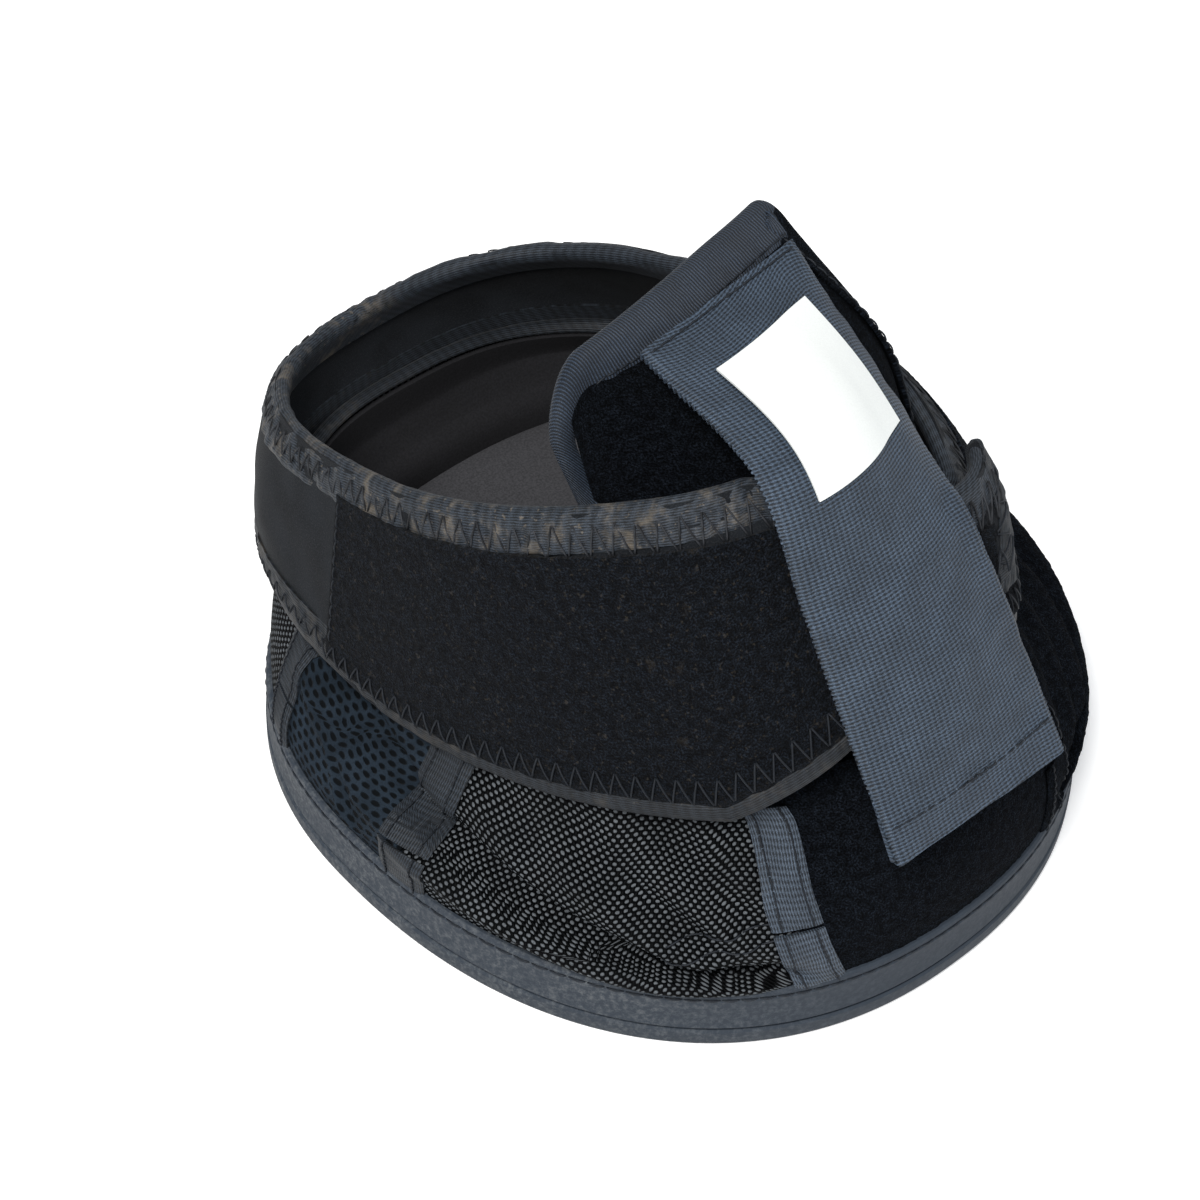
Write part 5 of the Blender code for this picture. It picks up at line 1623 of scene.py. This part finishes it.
def path_stitches(points, out, pitch, bulge):
    """Thread paths a pitch apart along a run of points."""
    run = run_lengths(points)
    count = max(int(run[-1] / pitch), 2)
    starts = np.arange(count)[:, None] * run[-1] / count
    part = np.linspace(0.06, 0.94, 6)[None, :]
    at = starts + part * run[-1] / count
    arch = (np.sin(math.pi * part) - 0.45) * bulge
    place = np.stack([np.interp(at, run, points[:, i]) for i in range(3)], axis=-1)
    lift = np.stack([np.interp(at, run, out[:, i]) for i in range(3)], axis=-1)
    return place + lift * arch[..., None]


def make_tongue_bindings(front):
    k = cloth()
    outer = 0.4 * MM
    inner = front - PAD_EDGE - SEAM_GAP - k.binding
    edge, inward, out, s = tongue_edge()
    leg = 5.4 * MM + 2.2 * MM * smooth_step(-0.9, -0.2, s) * smooth_step(0.995, 0.9, s)
    pucker = noise(np.random.default_rng(SEED + 90), len(s), LEG_ROWS, 5) * 0.16 * MM
    points = trim_grid(edge, inward, out, outer, inner, leg, pucker)
    flip = not flows_out(points, points.mean(axis=1, keepdims=True)[:-1])
    turn = len(s) - FAR_EDGE_START
    for name, part, skin, nodes in (
            ("tongue_ribbed_binding", points[:turn + 1], "ribbed",
             ("tongue_near_binding", "tongue_top_binding")),
            ("tongue_far_edge_binding", points[turn:], "toe_pile", ("tongue_far_binding",))):
        obj = sheet_object(name, part, TRIM_CLOTH, flip)
        finish_piece(obj, finishes[skin], "tongue", *nodes, slot="binding_tape")
        declare_sheet(part)
    line = edge + inward * (leg - 0.9 * MM)[:, None] + out * (outer + 0.05 * MM)
    sew("tongue_stitch", path_stitches(line, out, 2.4 * MM, STITCH_BULGE), "dark_thread", "tongue")


# Strap

STRAP_STITCH_PITCH = 2.2 * MM


def strap_span():
    return float(run_lengths(strap(np.zeros(40), np.linspace(0, 1, 40)))[-1])


def strap_blend():
    """Blend from the tongue to the strap, just past the strap's seam."""
    start, end = (tuple(map(float, strap(np.array(0.0), np.array(t)))) for t in (0.0, 0.11))
    return ("tongue", "strap", start, end)


def strap_layer(name, limit, start, end, lift, thickness, material, node, slot, columns, rows):
    """Layer of the strap between shares of its width and of its length."""
    s = np.linspace(-limit, limit, columns)[:, None]
    t = np.linspace(start, end, rows)[None, :]
    points = offset(strap, s, t, lift)
    obj = sheet_object(name, points, thickness, not flows_out(points, STRAP_MIDDLE))
    finish_piece(obj, finishes[material], strap_blend(), node, slot=slot)
    declare_sheet(points)


def make_strap():
    c, k = closure(), cloth()
    span = strap_span()
    fold_share = 1 - c.fold / span
    columns, rows = 66, 400
    s = np.linspace(-1, 1, columns)[:, None]
    t = np.linspace(0, 1, rows)[None, :]
    tooth = 0.15 * MM * np.where(np.arange(rows) % 4 < 2, 1.0, -1.0)[None, :]
    edge = smooth_step(0.97, 1.0, np.abs(s)) * np.where(s < 0, -1.0, 0.35)
    wave = 0.25 * MM * noise(np.random.default_rng(SEED + 101), columns, rows, 16)
    droop = -0.5 * MM * smooth_step(0.93, 1.0, np.abs(s)) + wave
    swing = tooth * edge / (c.strap_width / 2)
    points = offset(strap, s + swing, t + s * 0, droop)
    plain = offset(strap, s + t * 0, t + s * 0, droop * 0)
    obj = sheet_object("strap_hook_webbing", points, c.strap,
                       not flows_out(points, STRAP_MIDDLE),
                       lengths=(arc_lengths(plain, 0), arc_lengths(plain, 1)))
    finish_piece(obj, finishes["webbing"], strap_blend(), "strap_webbing", slot="strap_webbing")
    declare_sheet(plain)
    under = -c.strap - k.clearance
    strap_layer("strap_hook_back", 0.95, 0.0, fold_share - 0.01, under, c.hook, "hook",
                "strap_hook_face", "hook_tape", 40, 120)
    strap_layer("strap_folded_end", 0.955, fold_share, 1.0, under, c.strap, "webbing",
                "strap_end_fold", "strap_webbing", 40, 30)
    strap_layer("bare_label_patch", c.label_width / c.strap_width, c.label_start, c.label_end,
                k.clearance + c.label, c.label, "label", "label_patch", "label_cloth", 24, 30)
    paths = []
    for at in (0.012, fold_share + 1.6 * MM / span):
        stops = lock_stops(strap, (-0.94, at), (0.94, at), STRAP_STITCH_PITCH)
        paths.append(stitch_paths(strap, stops, STITCH_STAND, STITCH_BULGE))
    sew("strap_stitch", np.concatenate(paths), "dark_thread", strap_blend())


# Stage


CAMERA_PLACE = (-0.2837, -0.2908, 0.4824)
CAMERA_TARGET = (-0.0125, 0.0, 0.033)
CAMERA_ROLL = math.radians(3.0)
CAMERA_LENS = 103.8


def area_lamp(name, place, target, size, watts, tint=(1.0, 1.0, 1.0)):
    data = bpy.data.lights.new(name, "AREA")
    data.shape = "DISK"
    data.size = size
    data.energy = watts
    data.color = tint
    lamp = bpy.data.objects.new(name, data)
    bpy.context.collection.objects.link(lamp)
    lamp.location = place
    lamp.rotation_euler = (Vector(target) - Vector(place)).to_track_quat("-Z", "Y").to_euler()
    return lamp


def make_camera():
    data = bpy.data.cameras.new("Camera")
    data.lens = CAMERA_LENS
    data.sensor_width = 36.0
    data.clip_start, data.clip_end = 0.01, 20.0
    camera = bpy.data.objects.new("Camera", data)
    bpy.context.collection.objects.link(camera)
    place, target = Vector(CAMERA_PLACE), Vector(CAMERA_TARGET)
    turn = (target - place).to_track_quat("-Z", "Y").to_matrix().to_4x4()
    camera.matrix_world = Matrix.Translation(place) @ turn @ Matrix.Rotation(CAMERA_ROLL, 4, "Z")
    bpy.context.scene.camera = camera


def make_stage():
    scene = bpy.context.scene
    scene.view_settings.view_transform = "Standard"
    bpy.ops.mesh.primitive_plane_add(size=6.0, location=(0.0, 0.0, 0.0))
    floor = bpy.context.active_object
    floor.name = "studio_floor"
    floor.data.materials.append(floor_finish())
    world = bpy.data.worlds.new("Studio")
    scene.world = world
    world.use_nodes = True
    background = world.node_tree.nodes["Background"]
    background.inputs["Color"].default_value = (0.93, 0.96, 1.0, 1.0)
    background.inputs["Strength"].default_value = 0.42
    area_lamp("key_lamp", (-0.55, -0.25, 0.95), (0, 0, 0.03), 0.45, 12.0, (1.0, 0.985, 0.96))
    area_lamp("fill_lamp", (0.7, -0.6, 0.6), (0, 0, 0.03), 0.6, 3.0, (0.94, 0.97, 1.0))
    make_camera()


# Operators and panel


class BootOperator:
    """Shared frame of the operators: runs a builder and fails loudly."""
    bl_options = {"REGISTER", "UNDO"}

    def execute(self, context):
        self.build()
        return {"FINISHED"}


class BOOT_OT_finishes(BootOperator, bpy.types.Operator):
    """Make every material"""
    bl_idname = "boot.finishes"
    bl_label = "Finishes"

    def build(self):
        make_finishes()


class BOOT_OT_sole(BootOperator, bpy.types.Operator):
    """Make the rand and the insole"""
    bl_idname = "boot.sole"
    bl_label = "Sole and rand"

    def build(self):
        make_sole()
        make_rand()


class BOOT_OT_upper(BootOperator, bpy.types.Operator):
    """Make the upper's panels, tapes and lining"""
    bl_idname = "boot.upper"
    bl_label = "Upper"

    def build(self):
        make_upper()


class BOOT_OT_collar(BootOperator, bpy.types.Operator):
    """Make the collar's halves, bindings and loop faces"""
    bl_idname = "boot.collar"
    bl_label = "Collar"

    def build(self):
        make_collar()


class BOOT_OT_tongue(BootOperator, bpy.types.Operator):
    """Make the tongue and its bindings"""
    bl_idname = "boot.tongue"
    bl_label = "Tongue"

    def build(self):
        make_tongue()


class BOOT_OT_strap(BootOperator, bpy.types.Operator):
    """Make the strap and its label"""
    bl_idname = "boot.strap"
    bl_label = "Strap"

    def build(self):
        make_strap()


class BOOT_OT_stage(BootOperator, bpy.types.Operator):
    """Make the floor, lights and camera"""
    bl_idname = "boot.stage"
    bl_label = "Stage"

    def build(self):
        make_stage()


class BOOT_PT_panel(bpy.types.Panel):
    """Sidebar panel with every builder and size"""
    bl_idname = "BOOT_PT_panel"
    bl_label = "Hoof Boot"
    bl_space_type = "VIEW_3D"
    bl_region_type = "UI"
    bl_category = "Hoof Boot"

    def draw(self, context):
        layout = self.layout
        for operator in OPERATORS:
            layout.operator(operator.bl_idname)
        for name, group in GROUPS:
            box = layout.box()
            box.label(text=group.__doc__)
            for key in group.__annotations__:
                box.prop(getattr(context.scene, name), key)


OPERATORS = (
    BOOT_OT_finishes, BOOT_OT_sole, BOOT_OT_upper, BOOT_OT_collar, BOOT_OT_tongue, BOOT_OT_strap,
    BOOT_OT_stage)
CLASSES = tuple(group for name, group in GROUPS) + OPERATORS + (BOOT_PT_panel,)


def register():
    for item in CLASSES:
        bpy.utils.register_class(item)
    for name, group in GROUPS:
        setattr(bpy.types.Scene, name, bpy.props.PointerProperty(type=group))


def unregister():
    for name, group in GROUPS:
        delattr(bpy.types.Scene, name)
    for item in reversed(CLASSES):
        bpy.utils.unregister_class(item)


def main():
    register()
    bpy.ops.boot.finishes()
    bpy.ops.boot.sole()
    bpy.ops.boot.upper()
    bpy.ops.boot.collar()
    bpy.ops.boot.tongue()
    bpy.ops.boot.strap()
    bpy.ops.boot.stage()


if __name__ == "__main__":
    main()
